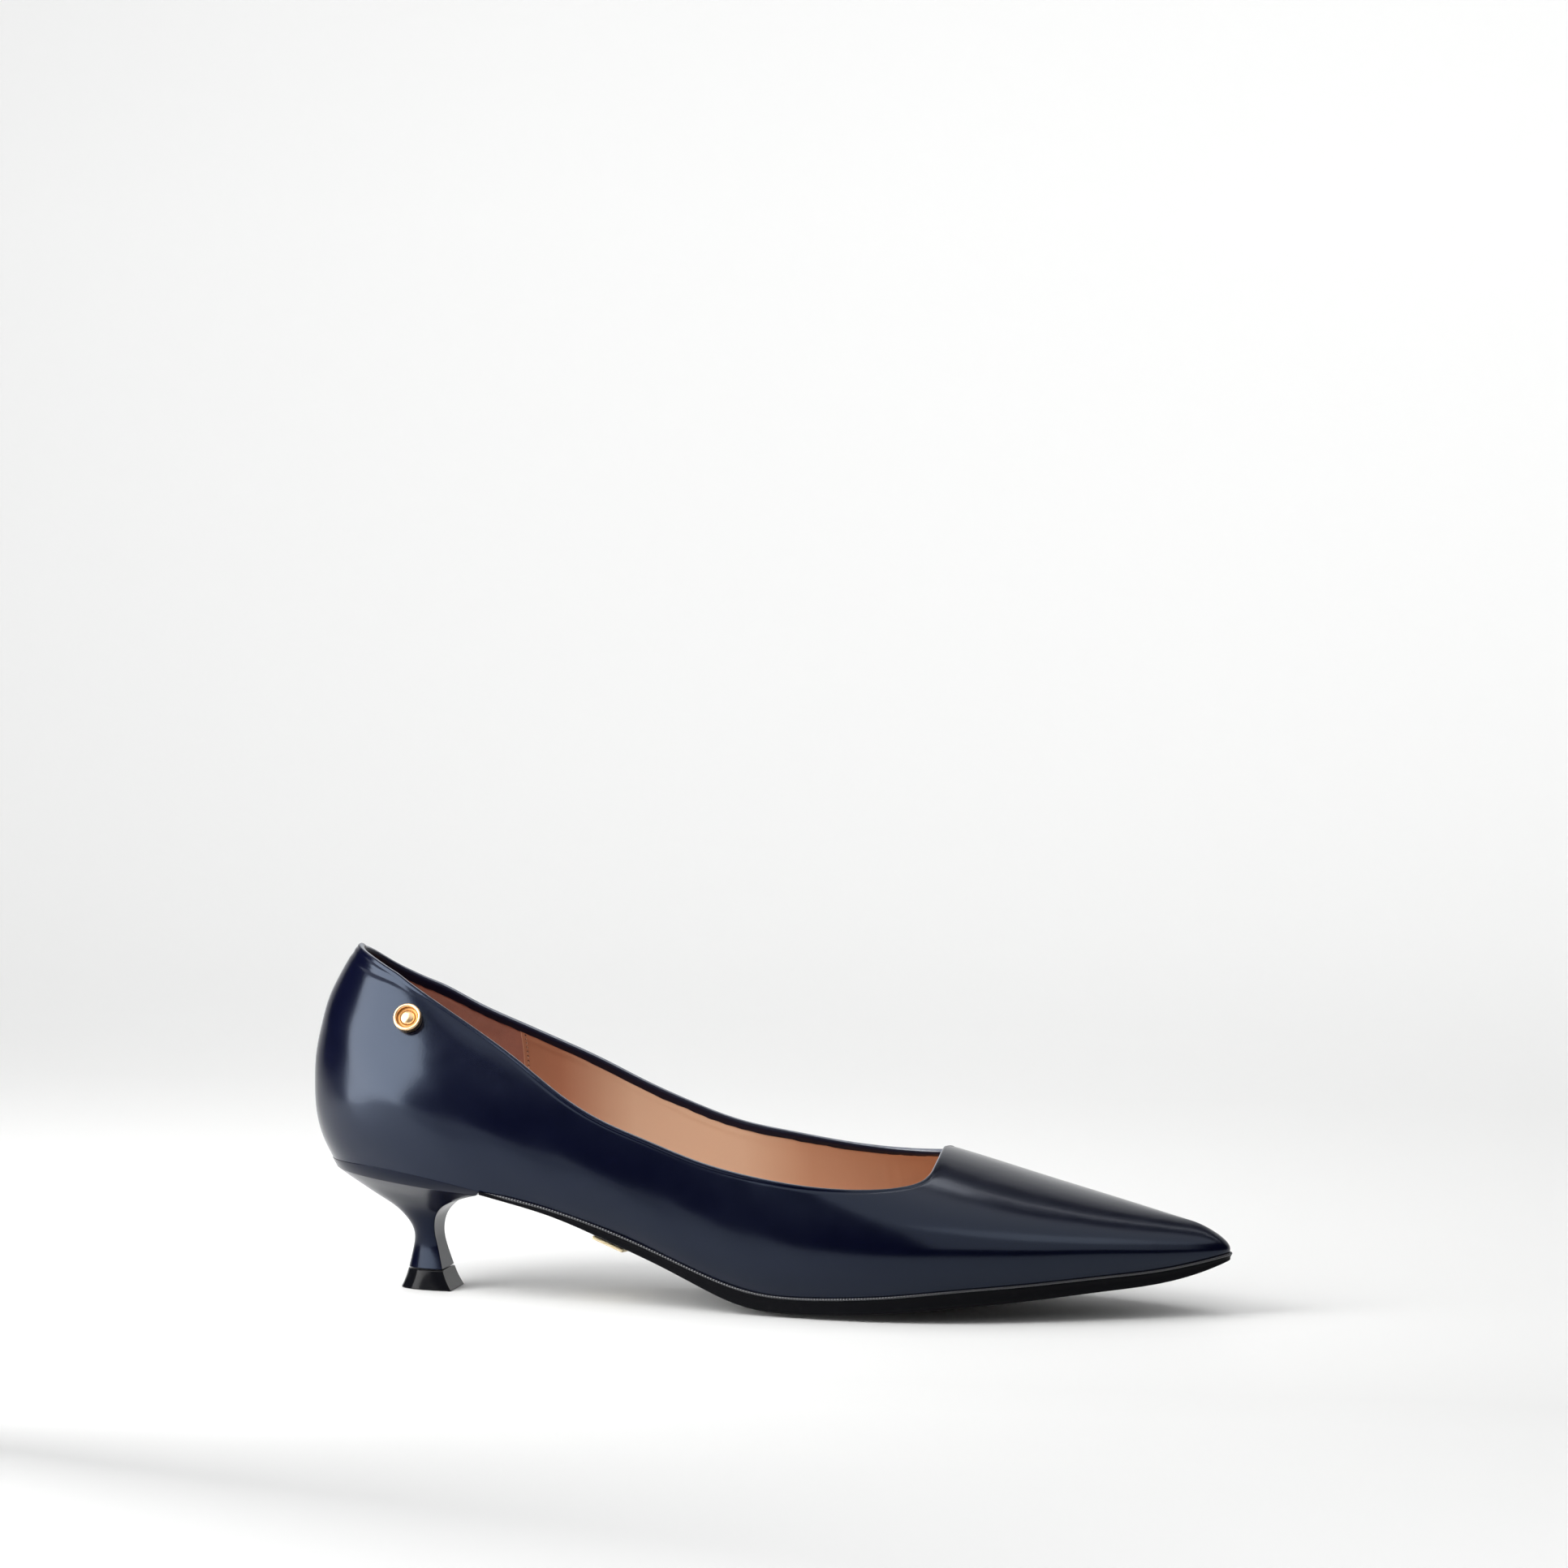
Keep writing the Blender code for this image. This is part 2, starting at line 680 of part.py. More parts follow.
def build_heel(material):
    """Heel: a cup under the seat that draws in to a slim neck with a flat breast."""
    turns = heel_turns()
    joint = TIP_HEIGHT + GAP

    def seat_level(x, run):
        return feather_height(x / SOLE_LENGTH) - GAP

    rings = [heel_ring(SEAT_RIM, 1.0, turns, seat_level)]
    for back, back_level, front, front_level, width, seat in HEEL:
        def neck_level(x, run, low=back_level, high=front_level):
            return joint + (HEEL_HEIGHT - joint) * (low + (high - low) * run)
        rings.append(heel_ring((back, front, width), seat, turns, neck_level))
    verts, faces, count = stack(rings)
    lines = []
    for step in range(NECK_ARC):
        start = verts[step]
        stop = verts[count - 1 - step]
        line = [step]
        for part in range(1, CROSS_STEPS):
            share = part / CROSS_STEPS
            place = start + (stop - start) * share
            place[2] = last_bottom(place[0] / SOLE_LENGTH, share) - GAP
            line.append(len(verts))
            verts.append(place)
        line.append(count - 1 - step)
        lines.append(line)
    for near, far in zip(lines, lines[1:]):
        for part in range(CROSS_STEPS):
            faces.append((near[part], near[part + 1], far[part + 1], far[part]))
    for part in range(CROSS_STEPS):
        faces.append((lines[-1][part], lines[-1][part + 1], NECK_ARC))
    faces.append(tuple(lines[0]) + (2 * count - 1, count))
    return new_object("heel", verts, faces, material)


def build_tip(material):
    """Top piece under the heel, flat on the floor."""
    turns = heel_turns()
    rings = []
    for back, front, width, level in TIP:
        height = TIP_HEIGHT * level

        def level_of(x, run, height=height):
            return height
        rings.append(heel_ring((back, front, width), 0.0, turns, level_of))
    verts, faces, count = stack(rings)
    faces.append((count - 1, 0, count, 2 * count - 1))
    faces.append(tuple(range(count)))
    return new_object("heel_tip", verts, faces, material)


def build_badge(material):
    """Round badge on the outer side of the counter: rim, recess and a low plain dome."""
    turn = turn_of(BADGE_PLACE[0])
    rise = rise_at(turn, OUTER, lambda along: BADGE_PLACE[1])
    out = Vector(last_normal(turn, OUTER, rise))
    seat = Vector(last_point(turn, OUTER, rise)) + out * GAP
    frame = Matrix.Translation(seat) @ out.to_track_quat("Z", "Y").to_matrix().to_4x4()
    rings = []
    for radius, height in BADGE_PROFILE:
        ring = []
        for step in range(BADGE_STEPS):
            angle = 2 * math.pi * step / BADGE_STEPS
            reach = BADGE_RADIUS * radius
            place = frame @ Vector((reach * math.cos(angle), reach * math.sin(angle),
                                    BADGE_HEIGHT * height))
            ring.append(np.array(place))
        rings.append(ring)
    verts = [point for ring in rings for point in ring]
    faces = []
    for number in range(len(rings) - 1):
        low = number * BADGE_STEPS
        for i in range(BADGE_STEPS):
            j = (i + 1) % BADGE_STEPS
            faces.append((low + i, low + j, low + BADGE_STEPS + j, low + BADGE_STEPS + i))
    faces.append(tuple(range(BADGE_STEPS)))
    faces.append(tuple(range(len(verts) - BADGE_STEPS, len(verts))))
    return new_object("badge", verts, faces, material)


def build_plate(material):
    """Plain plate under the waist, bent to the crown of the sole."""
    verts = []
    layers = []
    for drop in (GAP, GAP + PLATE_THICKNESS):
        grid = []
        for i in range(PLATE_STEPS + 1):
            x = SOLE_LENGTH * PLATE_PLACE[0] + PLATE_LENGTH * (i / PLATE_STEPS - 0.5)
            turn = turn_of(x / SOLE_LENGTH)
            outer = plan_point(turn, OUTER)[1]
            inner = plan_point(turn, INNER)[1]
            line = []
            for j in range(PLATE_STEPS + 1):
                y = BALL_WIDTH * PLATE_PLACE[1] + PLATE_WIDTH * (j / PLATE_STEPS - 0.5)
                share = (y - outer) / (inner - outer)
                line.append(len(verts))
                verts.append(np.array([x, y, sole_under(x / SOLE_LENGTH, share) - drop]))
            grid.append(line)
        layers.append(grid)
    faces = []
    for grid in layers:
        for i in range(PLATE_STEPS):
            for j in range(PLATE_STEPS):
                faces.append((grid[i][j], grid[i + 1][j], grid[i + 1][j + 1], grid[i][j + 1]))
    high, low = layers
    last = PLATE_STEPS
    for i in range(PLATE_STEPS):
        for j in (0, last):
            faces.append((high[i][j], high[i + 1][j], low[i + 1][j], low[i][j]))
            faces.append((high[j][i], high[j][i + 1], low[j][i + 1], low[j][i]))
    return new_object("waist_plate", verts, faces, material)


def centre_shoe():
    """Middle of the shoe's length and width over the origin."""
    places = np.array([vert.co for item in bpy.data.objects for vert in item.data.vertices])
    middle = (places.min(axis=0) + places.max(axis=0)) / 2
    for item in bpy.data.objects:
        item.data.transform(Matrix.Translation((-middle[0], -middle[1], 0.0)))
    return middle


def main():
    for item in list(bpy.data.objects):
        bpy.data.objects.remove(item)
    leather = new_material("navy_leather", (0.012, 0.017, 0.055), 0.22, 0.0)
    lining = new_material("tan_lining", (0.62, 0.33, 0.22), 0.6, 0.0)
    rubber = new_material("black_sole", (0.012, 0.012, 0.014), 0.4, 0.0)
    lacquer = new_material("navy_heel", (0.010, 0.015, 0.050), 0.14, 0.0)
    gilt = new_material("gilt_metal", (0.78, 0.56, 0.26), 0.25, 1.0)
    build_upper(leather)
    build_insole(lining)
    build_outsole(rubber)
    build_heel(lacquer)
    build_tip(rubber)
    build_badge(gilt)
    build_plate(gilt)
    return centre_shoe()


main()
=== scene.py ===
"""Looks of a kitten heel pump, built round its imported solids.

The shoe's own frame: X from the back of the seat to the toe, outer side at -Y, Z up from the floor.
"""
import math

import bmesh
import bpy
import numpy as np
from mathutils import Matrix, Vector


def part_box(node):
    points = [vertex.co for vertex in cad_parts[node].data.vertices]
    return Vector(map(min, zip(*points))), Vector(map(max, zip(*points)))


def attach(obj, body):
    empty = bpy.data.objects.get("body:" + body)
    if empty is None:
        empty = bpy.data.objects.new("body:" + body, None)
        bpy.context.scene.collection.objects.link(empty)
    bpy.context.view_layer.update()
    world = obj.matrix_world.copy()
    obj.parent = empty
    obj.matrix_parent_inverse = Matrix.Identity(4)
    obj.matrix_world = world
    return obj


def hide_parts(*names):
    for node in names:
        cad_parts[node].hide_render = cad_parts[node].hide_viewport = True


bl_info = {
    "name": "Kitten heel pump",
    "version": (1, 0, 0),
    "blender": (4, 5, 0),
    "location": "View3D > Sidebar > Pump",
    "description": "Dresses the solids of a kitten heel pump in leather, lining, sole edge and trim",
    "category": "Object",
}

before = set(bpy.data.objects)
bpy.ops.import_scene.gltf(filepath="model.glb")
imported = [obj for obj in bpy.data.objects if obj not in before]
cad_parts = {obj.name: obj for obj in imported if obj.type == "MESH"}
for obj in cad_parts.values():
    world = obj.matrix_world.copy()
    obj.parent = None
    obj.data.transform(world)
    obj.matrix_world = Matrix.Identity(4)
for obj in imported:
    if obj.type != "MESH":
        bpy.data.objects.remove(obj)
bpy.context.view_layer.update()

# The last and the sole, as the solids have them
SOLE_LENGTH = 0.2560
BALL_WIDTH = 0.0720
HEEL_HEIGHT = 0.0374
TOP_HEIGHT = 0.0975
WALL = 0.0018
GAP = 0.0003
SOLE_EDGE = 0.0045
SOLE_CROWN = 0.0036
LAST_CROWN = 0.0014
LIP_DEPTH = 0.0009
LIP_REACH = 0.0005
STEP_DEPTH = 0.0003
EDGE_ROUND = 0.0009
BODY_REACH = 0.00025
LIP_SHARE = 0.33
INSOLE_THICKNESS = 0.0022
TIP_HEIGHT = 0.0056
BADGE_RADIUS = 0.0040
BADGE_HEIGHT = 0.0026
PLATE_LENGTH = 0.0088
PLATE_WIDTH = 0.0130
PLATE_THICKNESS = 0.0010
PLATE_DROP = 0.0006
SHANK_END = 0.195
SOLE_LEAD = 0.0022           # how far the sole's square end lies behind that, share of the length
HEEL_CENTRE = 0.150
FAN_BLEND = 0.050
TOE_LAG = 0.043
TOE_LAG_START = 0.800
GIRTH_RISE = 0.25
BADGE_PLACE = (0.1025, 0.804)
PLATE_PLACE = (0.3255, -0.105)

# Depths in the wall of the upper, from its outer skin
LEATHER_DEPTH = WALL * 0.6
LINING_DEPTH = WALL * 0.86
GRIP_DEPTH = WALL * 0.80
SOCK_INSET = WALL * 0.88
UPPER_DROP = GAP * 0.9       # how far the dressed upper comes down towards the sole

PLAN = (
    # along, outer, inner
    (0.03, 0.203, 0.203),
    (0.07, 0.286, 0.283),
    (0.12, 0.339, 0.333),
    (0.18, 0.361, 0.350),
    (0.26, 0.364, 0.328),
    (0.36, 0.375, 0.283),
    (0.46, 0.419, 0.283),
    (0.55, 0.481, 0.350),
    (0.62, 0.517, 0.425),
    (0.68, 0.519, 0.472),
    (0.74, 0.483, 0.472),
    (0.82, 0.383, 0.394),
    (0.90, 0.244, 0.258),
    (0.95, 0.144, 0.153),
    (0.98, 0.083, 0.086),
)
BOTTOM = (
    # along, feather
    (0.00, 1.000),
    (0.08, 0.979),
    (0.14, 0.918),
    (0.20, 0.832),
    (0.27, 0.722),
    (0.33, 0.594),
    (0.385, 0.452),
    (0.43, 0.326),
    (0.47, 0.227),
    (0.51, 0.166),
    (0.55, 0.151),
    (0.60, 0.163),
    (0.66, 0.195),
    (0.72, 0.239),
    (0.80, 0.283),
    (0.88, 0.328),
    (0.94, 0.366),
    (1.00, 0.448),
)
EDGE = (
    # along, depth, crown
    (0.19, 0.20, 0.00),
    (0.24, 0.29, 0.55),
    (0.29, 0.42, 0.95),
    (0.34, 0.62, 1.00),
    (0.40, 0.73, 0.95),
    (0.44, 0.84, 0.85),
    (0.48, 0.98, 0.70),
    (0.54, 0.96, 0.62),
    (0.60, 0.98, 0.62),
    (0.66, 1.00, 0.62),
    (0.72, 1.03, 0.55),
    (0.80, 0.96, 0.45),
    (0.88, 0.87, 0.32),
    (0.95, 0.75, 0.18),
    (0.98, 0.58, 0.08),
    (1.00, 0.38, 0.00),
)
SECTION = (
    # along, swell_outer, swell_inner, girth, crest, pinch_outer, pinch_inner, ridge
    (0.00, 0.072, 0.072, 0.206, 1.370, 0.42, 0.42, 0.000),
    (0.07, 0.058, 0.056, 0.208, 1.200, 0.44, 0.44, 0.000),
    (0.14, 0.050, 0.051, 0.190, 1.020, 0.40, 0.40, 0.000),
    (0.22, 0.050, 0.060, 0.165, 0.875, 0.20, 0.12, 0.004),
    (0.33, 0.056, 0.083, 0.145, 0.760, 0.10, -0.06, 0.014),
    (0.44, 0.053, 0.083, 0.142, 0.680, 0.00, -0.08, 0.028),
    (0.54, 0.048, 0.060, 0.135, 0.585, 0.04, 0.02, 0.038),
    (0.62, 0.043, 0.044, 0.118, 0.500, 0.13, 0.11, 0.040),
    (0.69, 0.038, 0.036, 0.105, 0.449, 0.18, 0.16, 0.038),
    (0.78, 0.030, 0.029, 0.085, 0.383, 0.18, 0.16, 0.030),
    (0.88, 0.022, 0.022, 0.062, 0.313, 0.14, 0.13, 0.018),
    (0.95, 0.016, 0.016, 0.038, 0.266, 0.08, 0.08, 0.008),
    (1.00, 0.003, 0.003, 0.011, 0.234, 0.05, 0.05, 0.000),
)
TOPLINE = (
    # along, outer, inner
    (0.026, 1.004, 1.002),
    (0.045, 0.985, 0.950),
    (0.075, 0.949, 0.894),
    (0.100, 0.912, 0.872),
    (0.140, 0.848, 0.820),
    (0.190, 0.768, 0.762),
    (0.235, 0.692, 0.712),
    (0.285, 0.600, 0.655),
    (0.330, 0.535, 0.597),
    (0.380, 0.484, 0.541),
    (0.440, 0.429, 0.486),
    (0.500, 0.393, 0.456),
    (0.560, 0.372, 0.431),
    (0.620, 0.364, 0.418),
    (0.700, 0.372, 0.420),
)
THROAT = (
    # foot, reach, across
    (0.560, 0.5600, 0.00),
    (0.590, 0.6050, 0.00),
    (0.612, 0.6400, 0.005),
    (0.632, 0.6680, 0.035),
    (0.650, 0.6830, 0.125),
    (0.666, 0.6885, 0.30),
    (0.681, 0.6892, 0.57),
    (0.695, 0.6868, 1.00),
    (0.712, 0.6975, 1.00),
    (0.732, 0.7205, 1.00),
    (0.758, 0.7520, 1.00),
    (0.790, 0.7890, 1.00),
    (0.830, 0.8300, 1.00),
)
THROAT_MIDDLE = 0.695
HEEL = (
    # back, back_level, front, front_level, width, seat
    (0.0040, 0.915, 0.1870, 0.757, 0.332, 1.00),
    (0.0160, 0.840, 0.1690, 0.712, 0.274, 0.90),
    (0.0310, 0.754, 0.1520, 0.659, 0.214, 0.70),
    (0.0500, 0.652, 0.1370, 0.599, 0.160, 0.40),
    (0.0680, 0.558, 0.1275, 0.538, 0.120, 0.15),
    (0.0805, 0.466, 0.1218, 0.466, 0.094, 0.00),
    (0.0885, 0.377, 0.1196, 0.377, 0.078, 0.00),
    (0.0915, 0.288, 0.1202, 0.288, 0.069, 0.00),
    (0.0905, 0.199, 0.1227, 0.199, 0.068, 0.00),
    (0.0880, 0.104, 0.1258, 0.104, 0.076, 0.00),
    (0.0850, 0.000, 0.1292, 0.000, 0.088, 0.00),
)
SEAT_RIM = (-0.0010, 0.1930, 0.357)
TIP = (
    # back, front, width, level
    (0.0845, 0.1297, 0.0900, 1.00),
    (0.0810, 0.1338, 0.0955, 0.50),
    (0.0760, 0.1398, 0.1005, 0.00),
)

# Pressed groove that ends the padded collar: along, distance below the topline, strength
COLLAR_GROOVE = (
    (0.020, 0.0030, 0.0),
    (0.040, 0.0016, 0.6),
    (0.055, 0.0024, 1.0),
    (0.068, 0.0024, 1.0),
    (0.080, 0.0019, 1.0),
    (0.092, 0.0013, 0.8),
    (0.105, 0.0009, 0.4),
    (0.125, 0.0006, 0.0),
)
# Soft forms of the collar beside that groove: height, share of its distance, shift and width
COLLAR_FORMS = (
    (-0.00036, 1.00, 0.0008, 0.0007),
    (0.00013, 1.00, -0.0007, 0.0008),
    (-0.00008, 0.45, 0.0003, 0.0005),
    (0.00016, 1.00, 0.0030, 0.0016),
)
# Pressed double line along the whole topline: height, distance and width
PRESSED_FORMS = ((0.00010, -0.0002, 0.0004), (-0.00018, 0.0006, 0.00035))
SLACK_HEIGHT = 0.000112      # slow waves in the leather of the quarter
COLLAR_SWELL = 0.0011        # how far the padded collar stands out
COLLAR_REACH = 0.0032
EDGE_LIFT = 0.00045          # topline of the dressed upper over that of the solids

# Painted light and shade of the lining: at the seam, then start and reach of each change, and the cast past
# it
# Painted shade at the seam; past it a painted highlight, then painted shade towards the throat
LINING_SEAM_SHADE = (0.80, 0.58, 0.51)
LINING_LIGHT_AND_SHADE = (((-0.066, 0.022), (1.20, 1.34, 1.38)), ((-0.012, 0.020), (0.98, 0.90, 0.84)))
SEAM_PLACE = 0.190           # seam between heel grip and lining, share of the sole length
HOLE_RADIUS = 0.00038        # of the painted shade in and round a stitch hole
CUT_EDGE = 0.00035           # light cut edge of the lining at the seam
THREAD_RADIUS = 0.00013

# Studio sweep behind the shoe
SWEEP_FRONT = -0.75
SWEEP_FLOOR = -0.0001        # a hair under the sole, so that the two faces are never one
SWEEP_BEND = 0.9
SWEEP_RADIUS = 1.6
SWEEP_TOP = 2.6
SWEEP_WIDTH = 7.0
# Glow of the sweep: round the contact shadow, then start, slope and level of its rise in front and far behind
GLOW_BESIDE = 0.07
GLOW_NEAR = (-0.13, -4.0, 0.29)
GLOW_FAR = (0.5, 0.7, 0.31)
CONTACT_PLACE = 0.035        # middle of the dark contact shadow under the ball and the toe
CONTACT_SPAN = (0.13, 0.06)

# Light card at the left: near corner, run away from the camera, outline as reach and height
CARD_CORNER = (-0.125, -0.270)
CARD_RUN = (-0.929, 0.371)
CARD_SHAPE = ((0.144, 0.02), (0.063, 0.128), (0.016, 0.265), (0.010, 0.60), (0.144, 0.60), (0.36, 0.55),
              (0.36, 0.0))
CARD_GLOW = 7.2

LIGHTS = (
    # name, place, target, size, brightness
    ("overhead", (0.05, -0.13, 1.10), (0.05, -0.13, 0.0), (2.0, 0.98), 1.25),
    ("key_strip", (-0.27, 0.52, 1.06), (-0.27, 0.0, 0.03), (0.9, 0.10), 4.5),
    ("front_right", (0.44, -0.56, 0.66), (0.08, 0.0, 0.03), (0.9, 0.8), 1.0),
)
BACKDROP_LIGHT = ("backdrop", (0.0, 0.9, 1.5), (0.0, 2.4, 0.35), (3.0, 0.5), 4.6)
ROOM_TINT = (0.70, 0.80, 1.0, 1.0)
ROOM_GLOW = 0.03

# Camera: what it stands round, in the shoe's own frame, how far and at what angles, and where it looks
CAMERA_CENTRE = (0.128, 0.0, 0.047478)
CAMERA_DISTANCE = 1.6
CAMERA_STAND = (12.5, 7.0)
CAMERA_LOOK = (-3.5372, 102.410)
CAMERA_LENS = 131.18

OUTER = -1
INNER = 1

POLISH_TINT = (0.60, 0.75, 1.0, 1.0)    # blue cast of reflections in the polished navy


def smooth(rows, column):
    """Natural cubic curve through one column of a table, against its first column."""
    knots = np.array([row[0] for row in rows])
    values = np.array([row[column] for row in rows])
    steps = np.diff(knots)
    slopes = np.diff(values) / steps
    size = len(knots)
    system = np.eye(size)
    target = np.zeros(size)
    for i in range(1, size - 1):
        system[i, i - 1:i + 2] = (steps[i - 1], 2 * (steps[i - 1] + steps[i]), steps[i])
        target[i] = 6 * (slopes[i] - slopes[i - 1])
    bends = np.linalg.solve(system, target)

    def curve(at):
        at = np.clip(at, knots[0], knots[-1])
        i = np.clip(np.searchsorted(knots, at, side="right") - 1, 0, size - 2)
        step = steps[i]
        low = (knots[i + 1] - at) / step
        high = (at - knots[i]) / step
        return (low * values[i] + high * values[i + 1]
                + ((low ** 3 - low) * bends[i] + (high ** 3 - high) * bends[i + 1]) * step ** 2 / 6)
    return curve


def steady(rows, column):
    """Curve through one column of a table that never overshoots its rows."""
    knots = np.array([row[0] for row in rows])
    values = np.array([row[column] for row in rows])
    steps = np.diff(knots)
    slopes = np.diff(values) / steps
    tangents = np.zeros(len(knots))
    for i in range(1, len(knots) - 1):
        if slopes[i - 1] * slopes[i] > 0:
            tangents[i] = 2 * slopes[i - 1] * slopes[i] / (slopes[i - 1] + slopes[i])
    tangents[0] = slopes[0]
    tangents[-1] = slopes[-1]

    def curve(at):
        at = np.clip(at, knots[0], knots[-1])
        i = np.clip(np.searchsorted(knots, at, side="right") - 1, 0, len(knots) - 2)
        step = steps[i]
        t = (at - knots[i]) / step
        return ((1 + 2 * t) * (1 - t) ** 2 * values[i] + t * (1 - t) ** 2 * step * tangents[i]
                + t ** 2 * (3 - 2 * t) * values[i + 1] - t ** 2 * (1 - t) * step * tangents[i + 1])
    return curve


def turn_of(along):
    """Angle that runs 0 at the back to pi at the toe tip for a share of the length."""
    return np.arccos(1 - 2 * np.clip(along, 0.0, 1.0))


def along_of(turn):
    return (1 - np.cos(turn)) / 2


def outline_curve():
    rows = [(-float(turn_of(along)), -outer) for along, outer, inner in reversed(PLAN)]
    rows += [(0.0, 0.0)]
    rows += [(float(turn_of(along)), inner) for along, outer, inner in PLAN]
    rows = [(-math.pi, 0.0)] + rows + [(math.pi, 0.0)]
    lap = 2 * math.pi
    before = [(turn - lap, offset) for turn, offset in rows[:-1]]
    after = [(turn + lap, offset) for turn, offset in rows[1:]]
    return smooth(before + rows + after, 1)


OUTLINE = outline_curve()
FEATHER = smooth(BOTTOM, 1)
EDGE_DEPTH = smooth(EDGE, 1)
EDGE_CROWN = smooth(EDGE, 2)
SWELL = (smooth(SECTION, 1), smooth(SECTION, 2))
GIRTH = smooth(SECTION, 3)
CREST = smooth(SECTION, 4)
PINCH = (smooth(SECTION, 5), smooth(SECTION, 6))
RIDGE = smooth(SECTION, 7)
TOP = (smooth(TOPLINE, 1), smooth(TOPLINE, 2))
REACH = steady(THROAT, 1)
ACROSS = steady(THROAT, 2)
GROOVE_DROP = steady(COLLAR_GROOVE, 1)
GROOVE_DEEP = steady(COLLAR_GROOVE, 2)


def shoe_middle():
    """Place of the frame's origin in the shoe's own frame."""
    insole_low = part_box("insole")[0]
    tip_low, tip_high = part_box("heel_tip")
    return np.array([WALL + GAP - insole_low.x, -(tip_low.y + tip_high.y) / 2, 0.0])


MIDDLE = shoe_middle()


def unit(arrows):
    return arrows / np.linalg.norm(arrows, axis=-1, keepdims=True)


def by_side(curves, side, at):
    return np.where(side < 0, curves[0](at), curves[1](at))


def plan_points(turn, side):
    return np.stack([SOLE_LENGTH * along_of(turn), BALL_WIDTH * OUTLINE(side * turn)], axis=-1)


def plan_normals(turn, side):
    step = 1e-4
    run = plan_points(turn + step, side) - plan_points(turn - step, side)
    out = np.stack([-run[..., 1], run[..., 0]], axis=-1) * np.asarray(side)[..., None]
    return unit(out)


def ridge_places(turn):
    """Plan place on the last's ridge that a line up the upper leans towards."""
    along = along_of(turn)
    past = along - HEEL_CENTRE
    centre = HEEL_CENTRE + (past + np.sqrt(past ** 2 + FAN_BLEND ** 2)) / 2
    late = np.maximum(0.0, along - TOE_LAG_START) / (1 - TOE_LAG_START)
    front = 1 - HEEL_CENTRE
    settle = (math.sqrt(front ** 2 + FAN_BLEND ** 2) - front) / 2
    centre = centre - TOE_LAG * late ** 2 - settle * along
    return np.stack([SOLE_LENGTH * centre, BALL_WIDTH * RIDGE(centre)], axis=-1)


def last_points(turn, side, rise):
    """Outer skin of the upper. rise: 0 at the feather line, 1 at the ridge."""
    turn, side, rise = np.broadcast_arrays(np.asarray(turn, float), side, rise)
    along = along_of(turn)
    foot = plan_points(turn, side)
    swell = BALL_WIDTH * by_side(SWELL, side, along)
    wide = foot + plan_normals(turn, side) * swell[..., None]
    feather = HEEL_HEIGHT * FEATHER(along)
    girth = TOP_HEIGHT * GIRTH(along)
    ridge = ridge_places(turn)
    span = np.linalg.norm(wide - ridge, axis=-1)
    pinch = by_side(PINCH, side, along)
    above = TOP_HEIGHT * CREST(along) - feather - girth
    match = np.clip(span * (1 + 2 * pinch) / above ** 2 * girth ** 2 / (2 * swell), 0.0, 1.0)
    left = 1 - rise / GIRTH_RISE
    lean = 1 - match * left ** 2 - (1 - match) * left ** 3
    low_place = foot + (wide - foot) * lean[..., None]
    low_level = feather + girth * rise / GIRTH_RISE
    angle = np.clip((rise - GIRTH_RISE) / (1 - GIRTH_RISE), 0.0, None) * math.pi / 2
    reach = np.cos(angle) * (1 - pinch * np.sin(angle) ** 2)
    high_place = ridge + (wide - ridge) * reach[..., None]
    crest = TOP_HEIGHT * CREST(high_place[..., 0] / SOLE_LENGTH)
    high_level = feather + girth + (crest - feather - girth) * np.sin(angle)
    low = rise < GIRTH_RISE
    place = np.where(low[..., None], low_place, high_place)
    return np.concatenate([place, np.where(low, low_level, high_level)[..., None]], axis=-1)


def last_normals(turn, side, rise):
    """Direction straight out from the outer skin."""
    step = 1e-3
    rise = np.minimum(rise, 1 - 2 * step)
    up = last_points(turn, side, rise + step) - last_points(turn, side, np.maximum(rise - step, 0.0))
    fore = last_points(turn + step, side, rise) - last_points(turn - step, side, rise)
    return unit(np.cross(fore, up) * -np.asarray(side, float)[..., None])


def rises_at(turn, side, levels):
    """How far up a line it reaches the level that levels gives for a share of the length."""
    low = np.full(turn.shape, GIRTH_RISE)
    high = np.ones(turn.shape)
    for _ in range(30):
        middle = (low + high) / 2
        point = last_points(turn, side, middle)
        under = point[..., 2] < TOP_HEIGHT * levels(point[..., 0] / SOLE_LENGTH)
        low = np.where(under, middle, low)
        high = np.where(under, high, middle)
    return (low + high) / 2


def line_ends(turn, side):
    """Turn and rise at the top end of the lines that stand at these turns."""
    along = along_of(turn)
    reach = np.where(along < THROAT[0][0], turn, turn_of(REACH(along)))
    reach = np.where(along > THROAT[-1][0], turn, reach)
    across = np.where(along > THROAT[-1][0], 1.0, np.where(along < THROAT[0][0], 0.0, ACROSS(along)))
    level = rises_at(reach, side, lambda at: by_side(TOP, side, at))
    return reach, np.where(across > 1 - 1e-9, 1.0, level + (1 - level) * across)


